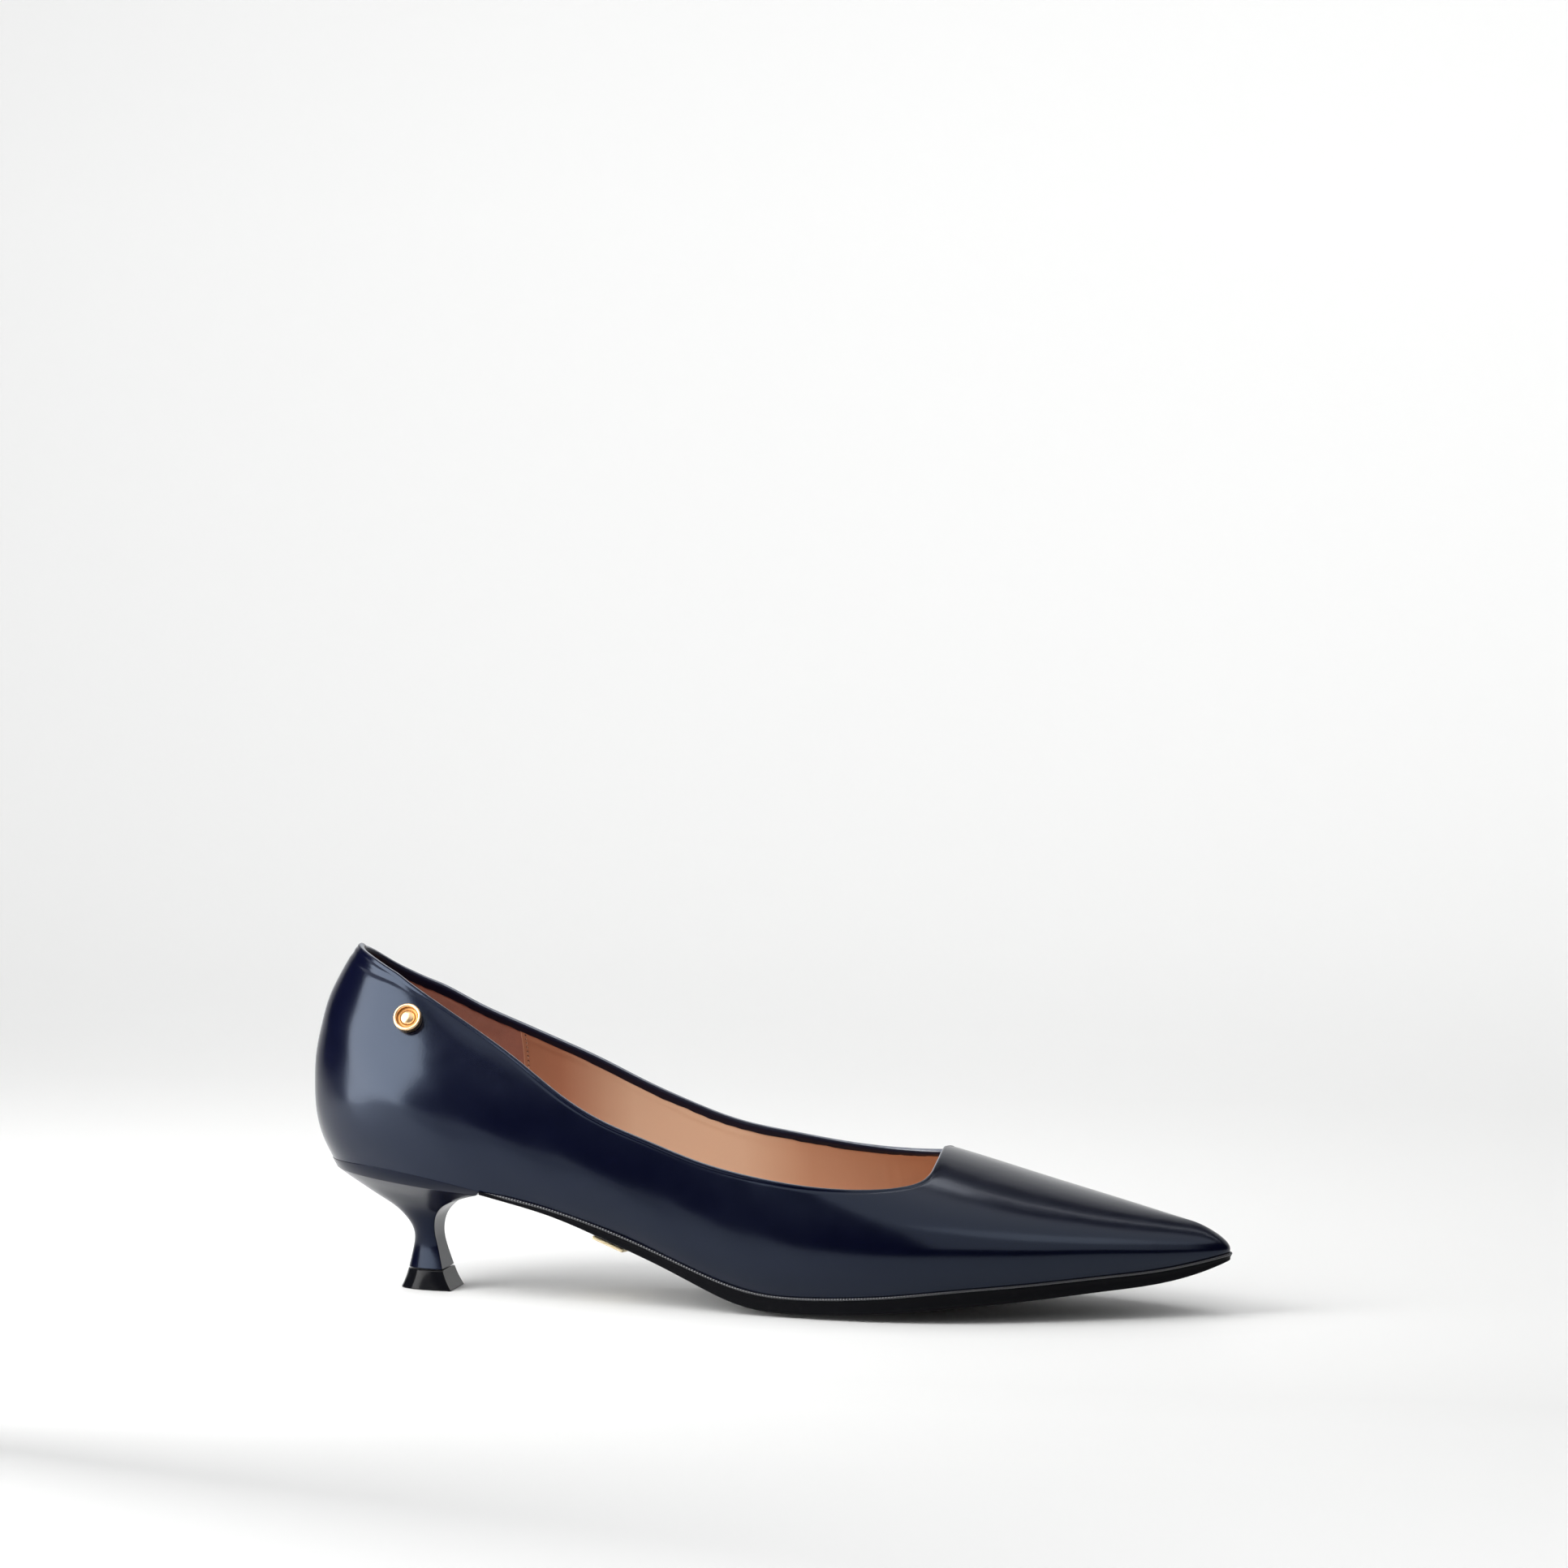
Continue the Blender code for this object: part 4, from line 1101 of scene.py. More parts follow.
def lining_body(first, last, face_depth, thickness, name, material):
    """Closed sheet against the inside of the leather between two lines."""
    rows = thinned_rows(2)
    lines = np.arange(first, last + 1) % SKIN.count
    open_top = (lines <= SKIN.throat) | (lines >= SKIN.count - SKIN.throat)
    width = facing_width(SKIN.edge[:, 0])
    distance, station = SKIN.distance[:, rows], SKIN.station[:, rows]
    lip = SKIN.along_edge(width, station) + 0.0004
    ridge = 0.00022 * bump_of(distance, lip, 0.0005)
    depth = face_depth(distance, SKIN.points[:, rows]) + ridge
    start = sizes().roll_height + 0.0005
    face, _, _ = inset_points(rows, depth, start)
    back, _, _ = inset_points(rows, depth - thickness, start)
    body = Body()
    face_grid = body.grid(face[lines])
    back_grid = body.grid(back[lines])
    body.skin(face_grid)
    body.skin(back_grid)
    body.skin(np.stack([face_grid[:, 0], back_grid[:, 0]], axis=1))
    for i in range(len(lines) - 1):
        if open_top[i] and open_top[i + 1]:
            body.fan((face_grid[i, -1], face_grid[i + 1, -1], back_grid[i + 1, -1], back_grid[i, -1]))
    for end in (0, -1):
        body.skin(np.stack([face_grid[end], back_grid[end]], axis=0))
    seam_line = SKIN.points[SKIN.seam]
    reach = np.linalg.norm(np.diff(SKIN.points[lines][:, rows], axis=0), axis=2)
    along = np.concatenate([np.zeros((1, len(rows))), np.cumsum(reach, axis=0)])
    to_seam = np.minimum(along, along[-1:] - along)
    climb = np.linalg.norm(np.diff(seam_line[rows], axis=0), axis=1)
    run = np.broadcast_to(np.concatenate([[0.0], np.cumsum(climb)]), to_seam.shape)
    attributes = {"seam_distance": np.tile(to_seam.ravel(), 2), "seam_run": np.tile(run.ravel(), 2)}
    item = body.build(name, attributes=attributes, sharp=50)
    settle(item, [material])
    return item


class PUMP_OT_lining(bpy.types.Operator):
    """Tan lining from the seam at the heel grip round the toe"""
    bl_idname = "pump.add_lining"
    bl_label = "Add lining"

    def execute(self, context):
        seam_x = SOLE_LENGTH * SEAM_PLACE

        def depth(distance, points):
            past = np.clip(points[..., 0] - seam_x, 0.0, None)
            crease = 0.00012 * (bump_of(points[..., 0], 0.1545, 0.0006)
                                + bump_of(points[..., 0], 0.1580, 0.0005))
            crease = crease * np.clip(distance / 0.004 - 0.6, 0.0, 1.0) * (points[..., 1] > 0)
            return LINING_DEPTH + 0.00028 * np.exp(-past / 0.005) + crease
        item = lining_body(SKIN.seam, SKIN.count - SKIN.seam, depth, 0.00030, "lining", lining_leather())
        return {"FINISHED"}


class PUMP_OT_grip(bpy.types.Operator):
    """Suede heel grip behind the seam"""
    bl_idname = "pump.add_heel_grip"
    bl_label = "Add heel grip"

    def execute(self, context):
        def depth(distance, points):
            return np.full(distance.shape, GRIP_DEPTH)
        item = lining_body(SKIN.count - SKIN.seam - 2, SKIN.count + SKIN.seam + 2, depth, 0.00028,
                           "heel_grip", grip_suede())
        return {"FINISHED"}


def capsule_threads(name, centres, arrows, outs, length, radius, material):
    """Short rounded threads, each bedded in the leather at both ends."""
    body = Body()
    stations = np.linspace(-0.5, 0.5, 7)
    angles = np.linspace(0.0, 2 * math.pi, 8, endpoint=False)
    for centre, arrow, out in zip(centres, arrows, outs):
        across = np.cross(arrow, out)
        rings = []
        for station in stations:
            size = radius * math.sqrt(max(0.02, 1 - (2 * station) ** 2)) ** 0.5
            sink = -radius * 1.3 * (2 * station) ** 2
            ring = [centre + arrow * length * station + out * (sink + size * math.sin(a))
                    + across * size * math.cos(a) for a in angles]
            rings.append(ring)
        body.tube(np.array(rings))
    item = body.build(name, merge=1e-8)
    settle(item, [material])
    return item


class PUMP_OT_thread(bpy.types.Operator):
    """Thread of the seam between heel grip and lining"""
    bl_idname = "pump.add_seam_thread"
    bl_label = "Add seam thread"

    def execute(self, context):
        centres, arrows, outs = [], [], []
        pitch = sizes().stitch_pitch
        for side, line in ((OUTER, SKIN.seam), (INNER, SKIN.count - SKIN.seam)):
            step = 1 if side == OUTER else -1
            path, normal = SKIN.points[line], SKIN.normals[line]
            ahead = unit(SKIN.points[line + step] - path)
            path = path + ahead * sizes().stitch_margin - normal * (LINING_DEPTH + 0.00026)
            climb = np.concatenate([[0.0], np.cumsum(np.linalg.norm(
                np.diff(SKIN.points[line], axis=0), axis=1))])
            top = climb[-1] - 0.0030
            for at in np.arange(pitch * 2.5, top, pitch):
                centre = np.array([np.interp(at, climb, path[:, k]) for k in range(3)])
                later = np.array([np.interp(at + 0.0004, climb, path[:, k]) for k in range(3)])
                out = -unit(np.array([np.interp(at, climb, normal[:, k]) for k in range(3)]))
                arrow = unit(later - centre)
                out = unit(out - arrow * (out @ arrow))
                centres.append(centre)
                arrows.append(arrow)
                outs.append(out)
        item = capsule_threads("seam_thread", centres, arrows, outs, pitch * 0.62, THREAD_RADIUS,
                               tan_thread())
        return {"FINISHED"}


def swell_across(share):
    """1 on the middle line and 0 at the two edges."""
    return 1 - (2 * share - 1) ** 2


def slab_body(turns, rim, top_level, bottom_level, cross=16, squared=True):
    """Closed slab between two skins, its rim in rows from top to bottom."""
    body = Body()
    sides = {side: rim(turns, np.full(len(turns), side)) for side in (OUTER, INNER)}
    share = np.linspace(0.0, 1.0, cross + 1)
    grids = {side: body.grid(points) for side, points in sides.items()}
    for side in (OUTER, INNER):
        body.skin(grids[side])
    starts = []
    for row, level in ((0, top_level), (-1, bottom_level)):
        start, stop = sides[OUTER][:, row], sides[INNER][:, row]
        line = start[:, None] + (stop - start)[:, None] * share[None, :, None]
        line[..., 2] = level(along_of(turns)[:, None], line[..., 2], share[None])
        line[:, 0], line[:, -1] = start, stop
        numbers = body.grid(line)
        body.skin(numbers)
        starts.append(numbers[0])
    if squared:
        body.skin(np.stack(starts))
        for side in (OUTER, INNER):
            body.fan(grids[side][0])
    return body


class PUMP_OT_insole(bpy.types.Operator):
    """Insole sock, cut to the lining"""
    bl_idname = "pump.add_insole"
    bl_label = "Add insole"

    def execute(self, context):
        profile = ((0.0010, 0.0), (0.0005, 0.00010), (0.00015, 0.00032), (0.0, 0.0007), (0.0, 0.0022))

        def rim(turn, side):
            out = plan_normals(turn, side)
            base = plan_points(turn, side) - out * SOCK_INSET
            level = HEEL_HEIGHT * FEATHER(along_of(turn)) + INSOLE_THICKNESS
            rows = [np.concatenate([base - out * back, (level - drop)[:, None]], axis=1)
                    for back, drop in profile]
            return np.stack(rows, axis=1)

        def sag(along, edge, share):
            return edge - LAST_CROWN * swell_across(share)
        turns = np.linspace(0.0, math.pi, 141)
        item = slab_body(turns, rim, sag, sag, squared=False).build("insole_sock")
        settle(item, [lining_leather()])
        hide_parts("insole")
        return {"FINISHED"}


def sole_under(along, share):
    """Underside of the sole: crowned across, flat where it meets the floor."""
    edge = HEEL_HEIGHT * FEATHER(along) - GAP - SOLE_EDGE * EDGE_DEPTH(along)
    return np.maximum(edge - SOLE_CROWN * EDGE_CROWN(along) * swell_across(share), 0.0)


SOLE_START = float(turn_of(SHANK_END - SOLE_LEAD))


def sole_rim(turn, side):
    along = along_of(turn)
    out = plan_normals(turn, side)
    out = np.where((turn <= SOLE_START + 1e-9)[:, None],
                   np.stack([0 * turn, side.astype(float)], axis=1), out)
    base = plan_points(turn, side)
    top = HEEL_HEIGHT * FEATHER(along) - GAP
    depth = SOLE_EDGE * EDGE_DEPTH(along)
    lip = np.minimum(LIP_DEPTH, depth * LIP_SHARE)
    step = STEP_DEPTH * lip / LIP_DEPTH
    rounding = np.minimum(EDGE_ROUND, EDGE_ROUND * depth / SOLE_EDGE)
    rows = [(LIP_REACH * 0.3, 0 * lip), (LIP_REACH * 0.82, lip * 0.08), (LIP_REACH, lip * 0.3),
            (LIP_REACH, lip * 0.7), (LIP_REACH * 0.82, lip * 0.95), (BODY_REACH, lip + step)]
    straight = depth - rounding - lip - step
    rows += [(BODY_REACH, lip + step + straight * share) for share in (0.33, 0.67, 1.0)]
    for angle in (0.25, 0.5, 0.75, 1.0):
        rows.append((BODY_REACH - rounding * (1 - math.cos(angle * math.pi / 2)),
                     depth - rounding * (1 - math.sin(angle * math.pi / 2))))
    points = []
    for reach, drop in rows:
        place = base + out * np.broadcast_to(reach, turn.shape)[:, None]
        points.append(np.concatenate([place, np.maximum(top - drop, 0.0)[:, None]], axis=1))
    return np.stack(points, axis=1)


class PUMP_OT_outsole(bpy.types.Operator):
    """Black sole with its stepped edge"""
    bl_idname = "pump.add_outsole"
    bl_label = "Add outsole"

    def execute(self, context):
        def top(along, edge, share):
            return HEEL_HEIGHT * FEATHER(along) - LAST_CROWN * swell_across(share) - GAP

        def bottom(along, edge, share):
            return sole_under(along, share)
        turns = np.linspace(SOLE_START, math.pi, 181)
        item = slab_body(turns, sole_rim, top, bottom).build("outsole_edge", sharp=50)
        settle(item, [sole_rubber()])
        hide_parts("outsole")
        return {"FINISHED"}


class PUMP_OT_bead(bpy.types.Operator):
    """Thin wheeled bead that closes the join of upper and sole"""
    bl_idname = "pump.add_bead"
    bl_label = "Add wheeled bead"

    def execute(self, context):
        fine = np.linspace(float(turn_of(SHANK_END + 0.004)), math.pi, 4000)
        body = Body()
        angles = np.linspace(0.0, 2 * math.pi, 8, endpoint=False)
        lines = []
        for side in (OUTER, INNER):
            sides = np.full(len(fine), side)
            place = plan_points(fine, sides) + plan_normals(fine, sides) * sizes().bead_reach
            level = HEEL_HEIGHT * FEATHER(along_of(fine)) - GAP * 0.5
            lines.append(np.concatenate([place, level[:, None]], axis=1))
        path = np.concatenate([lines[0], lines[1][-2::-1]])
        length = np.concatenate([[0.0], np.cumsum(np.linalg.norm(np.diff(path, axis=0), axis=1))])
        pitch = sizes().bead_pitch
        steps = int(length[-1] / (pitch / 4))
        at = np.linspace(0.0, length[-1], steps)
        path = np.stack([np.interp(at, length, path[:, k]) for k in range(3)], axis=1)
        arrow = unit(np.gradient(path, axis=0))
        out = unit(np.cross(arrow, np.array([0.0, 0.0, 1.0])))
        up = np.cross(out, arrow)
        ends = np.clip(np.minimum(at, length[-1] - at) / 0.006, 0.05, 1.0)
        radius = sizes().bead_radius * ends * (1 + 0.22 * np.cos(2 * math.pi * at / pitch))
        rings = [path + out * (radius * math.cos(a))[:, None] + up * (radius * math.sin(a))[:, None]
                 for a in angles]
        body.tube(np.stack(rings, axis=1))
        item = body.build("wheeled_bead", merge=1e-7)
        settle(item, [waxed_thread()])
        return {"FINISHED"}


HEEL_TURNS = np.linspace(float(turn_of(SHANK_END - GAP / SOLE_LENGTH)), 0.0, 45)


def heel_ring(reach, seat, level_of):
    """One ring of the heel, from the outer corner of the breast round to the inner one."""
    back, front, width = reach
    steps = len(HEEL_TURNS)
    angle = math.pi / 2 * np.arange(steps) / (steps - 1)
    halves = []
    for side in (OUTER, INNER):
        sides = np.full(steps, side)
        rim = plan_points(HEEL_TURNS, sides)
        corner = rim[0]
        run = seat * rim[:, 0] / corner[0] + (1 - seat) * (1 - np.sin(angle))
        out = seat * rim[:, 1] / corner[1] + (1 - seat) * np.cos(angle)
        x = SOLE_LENGTH * (back + (front - back) * run)
        half = np.stack([x, side * BALL_WIDTH * width * out, level_of(x, run)], axis=1)
        halves.append(half)
    return np.concatenate([halves[0], halves[1][-2::-1]])


def smooth_rows(rows, count):
    """Rows of a table read finely down its length."""
    spots = [(i, *row) for i, row in enumerate(rows)]
    at = np.linspace(0, len(rows) - 1, count)
    return np.stack([smooth(spots, k + 1)(at) for k in range(len(rows[0]))], axis=1)


def ring_body(rings):
    """Closed piece from a pile of rings, each open at the breast."""
    body = Body()
    numbers = body.grid(np.stack(rings))
    body.skin(numbers)
    steps = np.linspace(0.0, 1.0, 9)[None, :, None]
    start, stop = np.stack(rings)[:, 0], np.stack(rings)[:, -1]
    breast = body.grid(stop[:, None] + (start - stop)[:, None] * steps)
    body.skin(breast)
    body.fan(list(numbers[0][::-1]) + list(breast[0][-2:0:-1]))
    body.fan(list(numbers[-1]) + list(breast[-1][1:-1]))
    return body


def round_edges(item, width, segments=3, angle=40):
    deselect()
    item.select_set(True)
    bpy.context.view_layer.objects.active = item
    bevel = item.modifiers.new("soft_edges", "BEVEL")
    bevel.width = width
    bevel.segments = segments
    bevel.limit_method = "ANGLE"
    bevel.angle_limit = math.radians(angle)
    bevel.harden_normals = False
    bpy.ops.object.modifier_apply(modifier=bevel.name)
    item.select_set(False)


class PUMP_OT_heel(bpy.types.Operator):
    """Low flared heel"""
    bl_idname = "pump.add_heel"
    bl_label = "Add heel"

    def execute(self, context):
        joint = TIP_HEIGHT + GAP

        def seat_level(x, run):
            return HEEL_HEIGHT * FEATHER(x / SOLE_LENGTH) - GAP
        rings = [heel_ring(SEAT_RIM, 1.0, seat_level)]
        for back, low, front, high, width, seat in smooth_rows(HEEL, 61):
            def neck_level(x, run, low=low, high=high):
                return joint + (HEEL_HEIGHT - joint) * (low + (high - low) * run)
            rings.append(heel_ring((back, front, width), min(max(seat, 0.0), 1.0), neck_level))
        item = ring_body(rings).build("heel_block", sharp=45)
        round_edges(item, 0.0006, segments=4)
        settle(item, [heel_lacquer()])
        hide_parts("heel")
        return {"FINISHED"}


class PUMP_OT_top_piece(bpy.types.Operator):
    """Black top piece under the heel"""
    bl_idname = "pump.add_top_piece"
    bl_label = "Add top piece"

    def execute(self, context):
        rings = []
        for back, front, width, level in smooth_rows(TIP, 9):
            rings.append(heel_ring((back, front, width), 0.0,
                                   lambda x, run, level=level: 0 * x + TIP_HEIGHT * level))
        item = ring_body(rings).build("heel_top_piece", sharp=40)
        round_edges(item, 0.00022, segments=2)
        settle(item, [tip_plastic()])
        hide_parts("heel_tip")
        return {"FINISHED"}


class PUMP_OT_badge(bpy.types.Operator):
    """Plain round badge: rim, recess and low dome"""
    bl_idname = "pump.add_badge"
    bl_label = "Add badge"

    def execute(self, context):
        turn = np.array([float(turn_of(BADGE_PLACE[0]))])
        side = np.array([OUTER])
        rise = rises_at(turn, side, lambda at: np.full(at.shape, BADGE_PLACE[1]))
        out = Vector(last_normals(turn, side, rise)[0])
        seat = Vector(last_points(turn, side, rise)[0] - MIDDLE) + out * GAP * 0.5
        place = Matrix.Translation(seat) @ out.to_track_quat("Z", "Y").to_matrix().to_4x4()
        profile = ((0.93, 0.00), (0.985, 0.05), (1.0, 0.16), (1.0, 0.80), (0.985, 0.90), (0.955, 0.965),
                   (0.91, 0.998), (0.86, 0.998), (0.81, 0.965), (0.775, 0.88), (0.755, 0.70), (0.74, 0.60),
                   (0.71, 0.555), (0.60, 0.55), (0.55, 0.57), (0.52, 0.66), (0.47, 0.76), (0.38, 0.845),
                   (0.26, 0.90), (0.13, 0.93))
        body = Body()
        angles = np.linspace(0.0, 2 * math.pi, 73)[:-1]
        rings = [np.stack([BADGE_RADIUS * r * np.cos(angles), BADGE_RADIUS * r * np.sin(angles),
                           0 * angles + BADGE_HEIGHT * h], axis=1) for r, h in profile]
        flat = np.stack(rings).reshape(-1, 3)
        flat = np.array([place @ Vector(p) for p in flat]) + MIDDLE
        numbers = body.grid(flat.reshape(len(profile), 72, 3))
        numbers = np.concatenate([numbers, numbers[:, :1]], axis=1)
        body.skin(numbers[:11])
        # The groove's rows take the gilt with painted shade
        body.skin(numbers[10:16], kind=1)
        body.skin(numbers[15:])
        body.fan(numbers[0][:-1][::-1])
        body.fan(numbers[-1][:-1])
        item = body.build("round_badge", merge=1e-7, sharp=45)
        settle(item, [gilt_metal(), shaded_gilt_recess()])
        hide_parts("badge")
        return {"FINISHED"}


class PUMP_OT_plate(bpy.types.Operator):
    """Plain gilt plate under the waist"""
    bl_idname = "pump.add_plate"
    bl_label = "Add waist plate"

    def execute(self, context):
        count = 13
        deselect()
        bpy.ops.mesh.primitive_grid_add(x_subdivisions=count - 1, y_subdivisions=count - 1, size=1.0)
        item = bpy.context.object
        item.name = item.data.name = "plate_of_the_waist"
        for vert in item.data.vertices:
            x = SOLE_LENGTH * PLATE_PLACE[0] + PLATE_LENGTH * vert.co.x
            y = BALL_WIDTH * PLATE_PLACE[1] + PLATE_WIDTH * vert.co.y
            turn = turn_of(np.array([x / SOLE_LENGTH]))
            outer = plan_points(turn, np.array([OUTER]))[0, 1]
            inner = plan_points(turn, np.array([INNER]))[0, 1]
            level = float(sole_under(x / SOLE_LENGTH, (y - outer) / (inner - outer))) - PLATE_DROP
            vert.co = Vector((x, y, level)) - Vector(MIDDLE)
        solid = item.modifiers.new("thickness", "SOLIDIFY")
        solid.thickness = PLATE_THICKNESS
        solid.offset = -1.0
        bpy.ops.object.modifier_apply(modifier=solid.name)
        round_edges(item, 0.0003, segments=3)
        for face in item.data.polygons:
            face.use_smooth = True
        item.data.set_sharp_from_angle(angle=math.radians(35))
        settle(item, [brushed_plate()])
        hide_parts("waist_plate")
        return {"FINISHED"}


def area_light(name, place, target, size, brightness):
    """Soft light of an even brightness, turned to its target."""
    light = bpy.data.lights.new(name, "AREA")
    light.shape = "RECTANGLE"
    light.size, light.size_y = size
    light.energy = brightness * math.pi * size[0] * size[1]
    item = bpy.data.objects.new(name, light)
    bpy.context.scene.collection.objects.link(item)
    item.location = place
    item.rotation_mode = "QUATERNION"
    item.rotation_quaternion = (Vector(target) - Vector(place)).to_track_quat("-Z", "Y")


def glowing_card(name):
    """Soft light card beside the heel, cut so that its reflection stops on the quarter."""
    deselect()
    bpy.ops.mesh.primitive_circle_add(vertices=len(CARD_SHAPE), radius=1.0, fill_type="NGON")
    card = bpy.context.object
    card.name = card.data.name = name
    for vert, (reach, height) in zip(card.data.vertices, CARD_SHAPE):
        vert.co = (CARD_CORNER[0] + CARD_RUN[0] * reach, CARD_CORNER[1] + CARD_RUN[1] * reach, height)
    glow, tree, shader = new_material("card_glow", (0.8, 0.8, 0.8), 0.9)
    shader.inputs["Emission Color"].default_value = (1.0, 1.0, 1.0, 1.0)
    shader.inputs["Emission Strength"].default_value = CARD_GLOW
    card.data.materials.append(glow)


class PUMP_OT_stage(bpy.types.Operator):
    """Pale floor, backdrop, soft lights and the camera"""
    bl_idname = "pump.add_stage"
    bl_label = "Add stage"

    def execute(self, context):
        pale, tree, shader = new_material("pale_floor", tuple(colours().floor), 0.6)
        roughen(tree, shader, noise(tree, 3.0, 3.0), 0.1, 0.55)
        place = node(tree, "ShaderNodeSeparateXYZ", {"Vector": place_of(tree)})
        across = maths(tree, "DIVIDE", place.outputs["Y"], CONTACT_SPAN[1])
        along = maths(tree, "DIVIDE", maths(tree, "SUBTRACT", place.outputs["X"], CONTACT_PLACE),
                      CONTACT_SPAN[0])
        spread = maths(tree, "ADD", maths(tree, "MULTIPLY", across, across),
                       maths(tree, "MULTIPLY", along, along), clamp=True)
        glow = mix_colour(tree, spread, (0.0,) * 3, (GLOW_BESIDE,) * 3)
        for start, slope, level in (GLOW_NEAR, GLOW_FAR):
            glow = mix_colour(tree, ramp(tree, place.outputs["Y"], start, slope), glow, (level,) * 3)
        tree.links.new(glow, shader.inputs["Emission Color"])
        shader.inputs["Emission Strength"].default_value = 1.0
        sweep = [(SWEEP_FRONT, SWEEP_FLOOR), (0.2, SWEEP_FLOOR), (SWEEP_BEND, SWEEP_FLOOR)]
        for angle in np.linspace(0.0, math.pi / 2, 25)[1:]:
            sweep.append((SWEEP_BEND + SWEEP_RADIUS * math.sin(angle), SWEEP_RADIUS * (1 - math.cos(angle))))
        sweep.append((SWEEP_BEND + SWEEP_RADIUS, SWEEP_TOP))
        deselect()
        bpy.ops.mesh.primitive_grid_add(x_subdivisions=1, y_subdivisions=len(sweep) - 1, size=1.0)
        floor = bpy.context.object
        floor.name = floor.data.name = "floor_sweep"
        for vert in floor.data.vertices:
            y, z = sweep[round((vert.co.y + 0.5) * (len(sweep) - 1))]
            vert.co = (SWEEP_WIDTH * vert.co.x, y, z)
        for face in floor.data.polygons:
            face.use_smooth = True
        floor.data.materials.append(pale)
        world = bpy.data.worlds.new("studio")
        world.use_nodes = True
        bpy.context.scene.world = world
        back = world.node_tree.nodes["Background"]
        back.inputs["Color"].default_value = ROOM_TINT
        back.inputs["Strength"].default_value = ROOM_GLOW
        for values in LIGHTS:
            area_light(*values)
        glowing_card("left_card")
        area_light(*BACKDROP_LIGHT)
        camera = bpy.data.cameras.new("camera")
        camera.sensor_width = 36.0
        camera.lens = CAMERA_LENS
        camera.clip_start = 0.05
        camera.clip_end = 30.0
        item = bpy.data.objects.new("camera", camera)
        bpy.context.scene.collection.objects.link(item)
        azimuth, elevation = (math.radians(angle) for angle in CAMERA_STAND)
        away = np.array([math.sin(azimuth) * math.cos(elevation),
                         -math.cos(azimuth) * math.cos(elevation), math.sin(elevation)])
        item.location = Vector(np.array(CAMERA_CENTRE) + CAMERA_DISTANCE * away - MIDDLE)
        pitch, yaw = (math.radians(angle) for angle in CAMERA_LOOK)
        look = Vector((math.cos(pitch) * math.cos(yaw), math.cos(pitch) * math.sin(yaw), math.sin(pitch)))
        item.rotation_mode = "QUATERNION"
        item.rotation_quaternion = look.to_track_quat("-Z", "Y")
        bpy.context.scene.camera = item
        bpy.context.scene.view_settings.view_transform = "Standard"
        return {"FINISHED"}


class PumpSizes(bpy.types.PropertyGroup):
    roll_height: bpy.props.FloatProperty(
        name="Roll height", description="Height of the rolled topline", default=0.0009,
        unit="LENGTH", subtype="DISTANCE")
    stitch_pitch: bpy.props.FloatProperty(
        name="Stitch pitch", description="Step between the holes of the grip seam", default=0.00165,
        unit="LENGTH", subtype="DISTANCE")
    stitch_margin: bpy.props.FloatProperty(
        name="Stitch margin", description="Row of holes from the cut edge of the lining", default=0.0014,
        unit="LENGTH", subtype="DISTANCE")
    bead_radius: bpy.props.FloatProperty(
        name="Bead radius", description="Radius of the wheeled bead at the sole", default=0.00040,
        unit="LENGTH", subtype="DISTANCE")
    bead_reach: bpy.props.FloatProperty(
        name="Bead reach", description="Middle of the bead out from the feather line", default=0.00034,
        unit="LENGTH", subtype="DISTANCE")
    bead_pitch: bpy.props.FloatProperty(
        name="Bead pitch", description="Step between the marks of the wheel", default=0.00085,
        unit="LENGTH", subtype="DISTANCE")


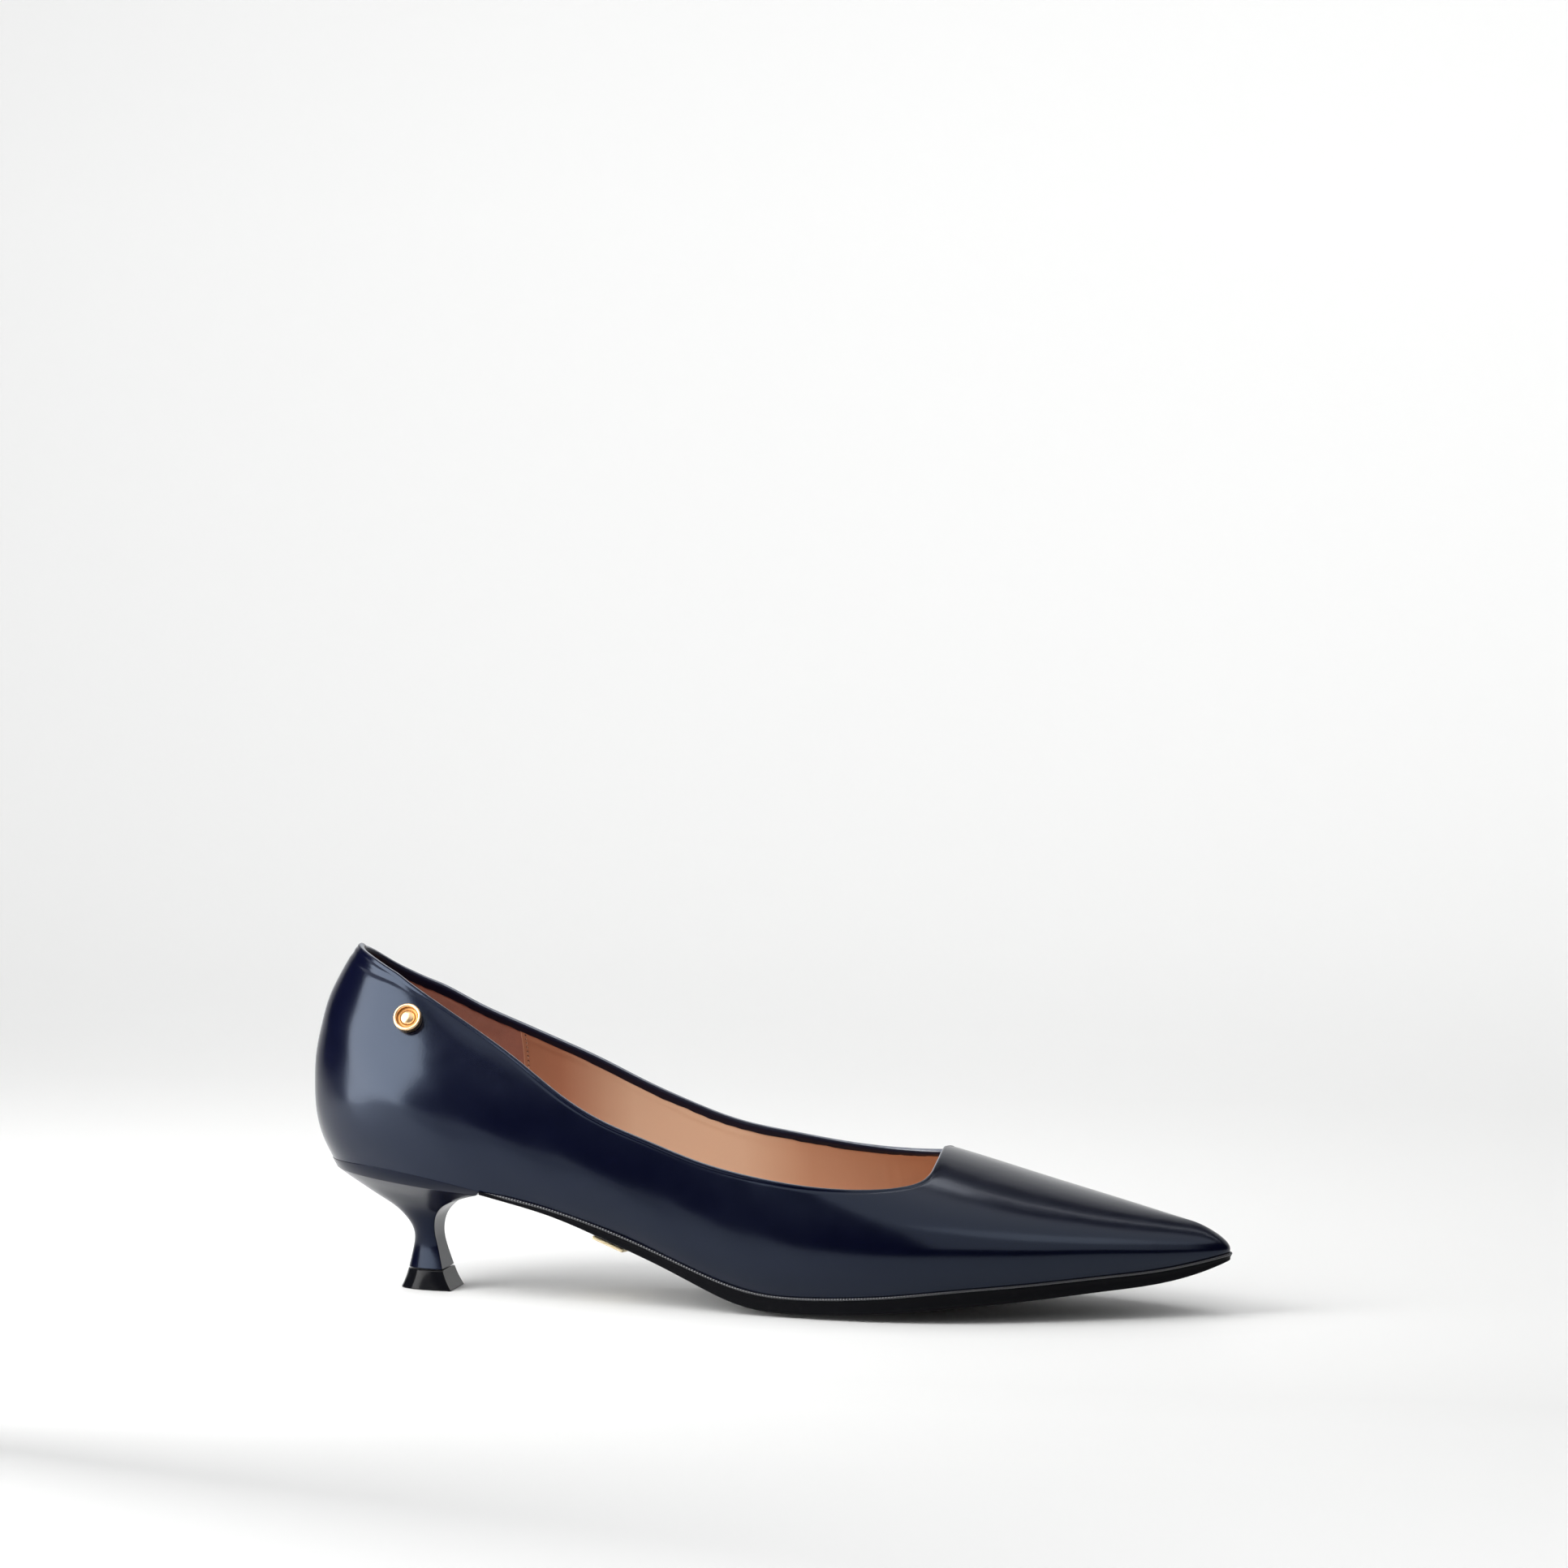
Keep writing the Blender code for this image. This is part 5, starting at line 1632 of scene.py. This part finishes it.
class PumpColours(bpy.types.PropertyGroup):
    leather: bpy.props.FloatVectorProperty(
        name="Leather", description="Navy of upper and heel", default=(0.0010, 0.0013, 0.0076),
        subtype="COLOR", size=3)
    lining: bpy.props.FloatVectorProperty(
        name="Lining", description="Tan of lining and insole", default=(0.59, 0.355, 0.235),
        subtype="COLOR", size=3)
    suede: bpy.props.FloatVectorProperty(
        name="Heel grip", description="Suede of the heel grip", default=(0.44, 0.18, 0.125),
        subtype="COLOR", size=3)
    sole: bpy.props.FloatVectorProperty(
        name="Sole", description="Black of sole and top piece", default=(0.0034, 0.0036, 0.0048),
        subtype="COLOR", size=3)
    gilt: bpy.props.FloatVectorProperty(
        name="Gilt", description="Badge and waist plate", default=(0.74, 0.50, 0.28),
        subtype="COLOR", size=3)
    floor: bpy.props.FloatVectorProperty(
        name="Floor", description="Pale studio floor", default=(0.82, 0.82, 0.81),
        subtype="COLOR", size=3)


PIECES = (PUMP_OT_upper, PUMP_OT_lining, PUMP_OT_grip, PUMP_OT_thread, PUMP_OT_insole, PUMP_OT_outsole,
          PUMP_OT_bead, PUMP_OT_heel, PUMP_OT_top_piece, PUMP_OT_badge, PUMP_OT_plate, PUMP_OT_stage)


class PUMP_PT_panel(bpy.types.Panel):
    """Pieces of the pump"""
    bl_idname = "PUMP_PT_panel"
    bl_label = "Kitten heel pump"
    bl_space_type = "VIEW_3D"
    bl_region_type = "UI"
    bl_category = "Pump"

    def draw(self, context):
        column = self.layout.column()
        for group in (context.scene.pump_sizes, context.scene.pump_colours):
            for key in group.__annotations__:
                column.prop(group, key)
        for piece in PIECES:
            column.operator(piece.bl_idname)


CLASSES = (PumpSizes, PumpColours, *PIECES, PUMP_PT_panel)


def register():
    for entry in CLASSES:
        bpy.utils.register_class(entry)
    bpy.types.Scene.pump_sizes = bpy.props.PointerProperty(type=PumpSizes)
    bpy.types.Scene.pump_colours = bpy.props.PointerProperty(type=PumpColours)


def unregister():
    del bpy.types.Scene.pump_colours
    del bpy.types.Scene.pump_sizes
    for entry in reversed(CLASSES):
        bpy.utils.unregister_class(entry)


def main():
    register()
    bpy.ops.pump.add_stage()
    bpy.ops.pump.add_upper()
    bpy.ops.pump.add_lining()
    bpy.ops.pump.add_heel_grip()
    bpy.ops.pump.add_seam_thread()
    bpy.ops.pump.add_insole()
    bpy.ops.pump.add_outsole()
    bpy.ops.pump.add_bead()
    bpy.ops.pump.add_heel()
    bpy.ops.pump.add_top_piece()
    bpy.ops.pump.add_badge()
    bpy.ops.pump.add_plate()


if __name__ == "__main__":
    main()
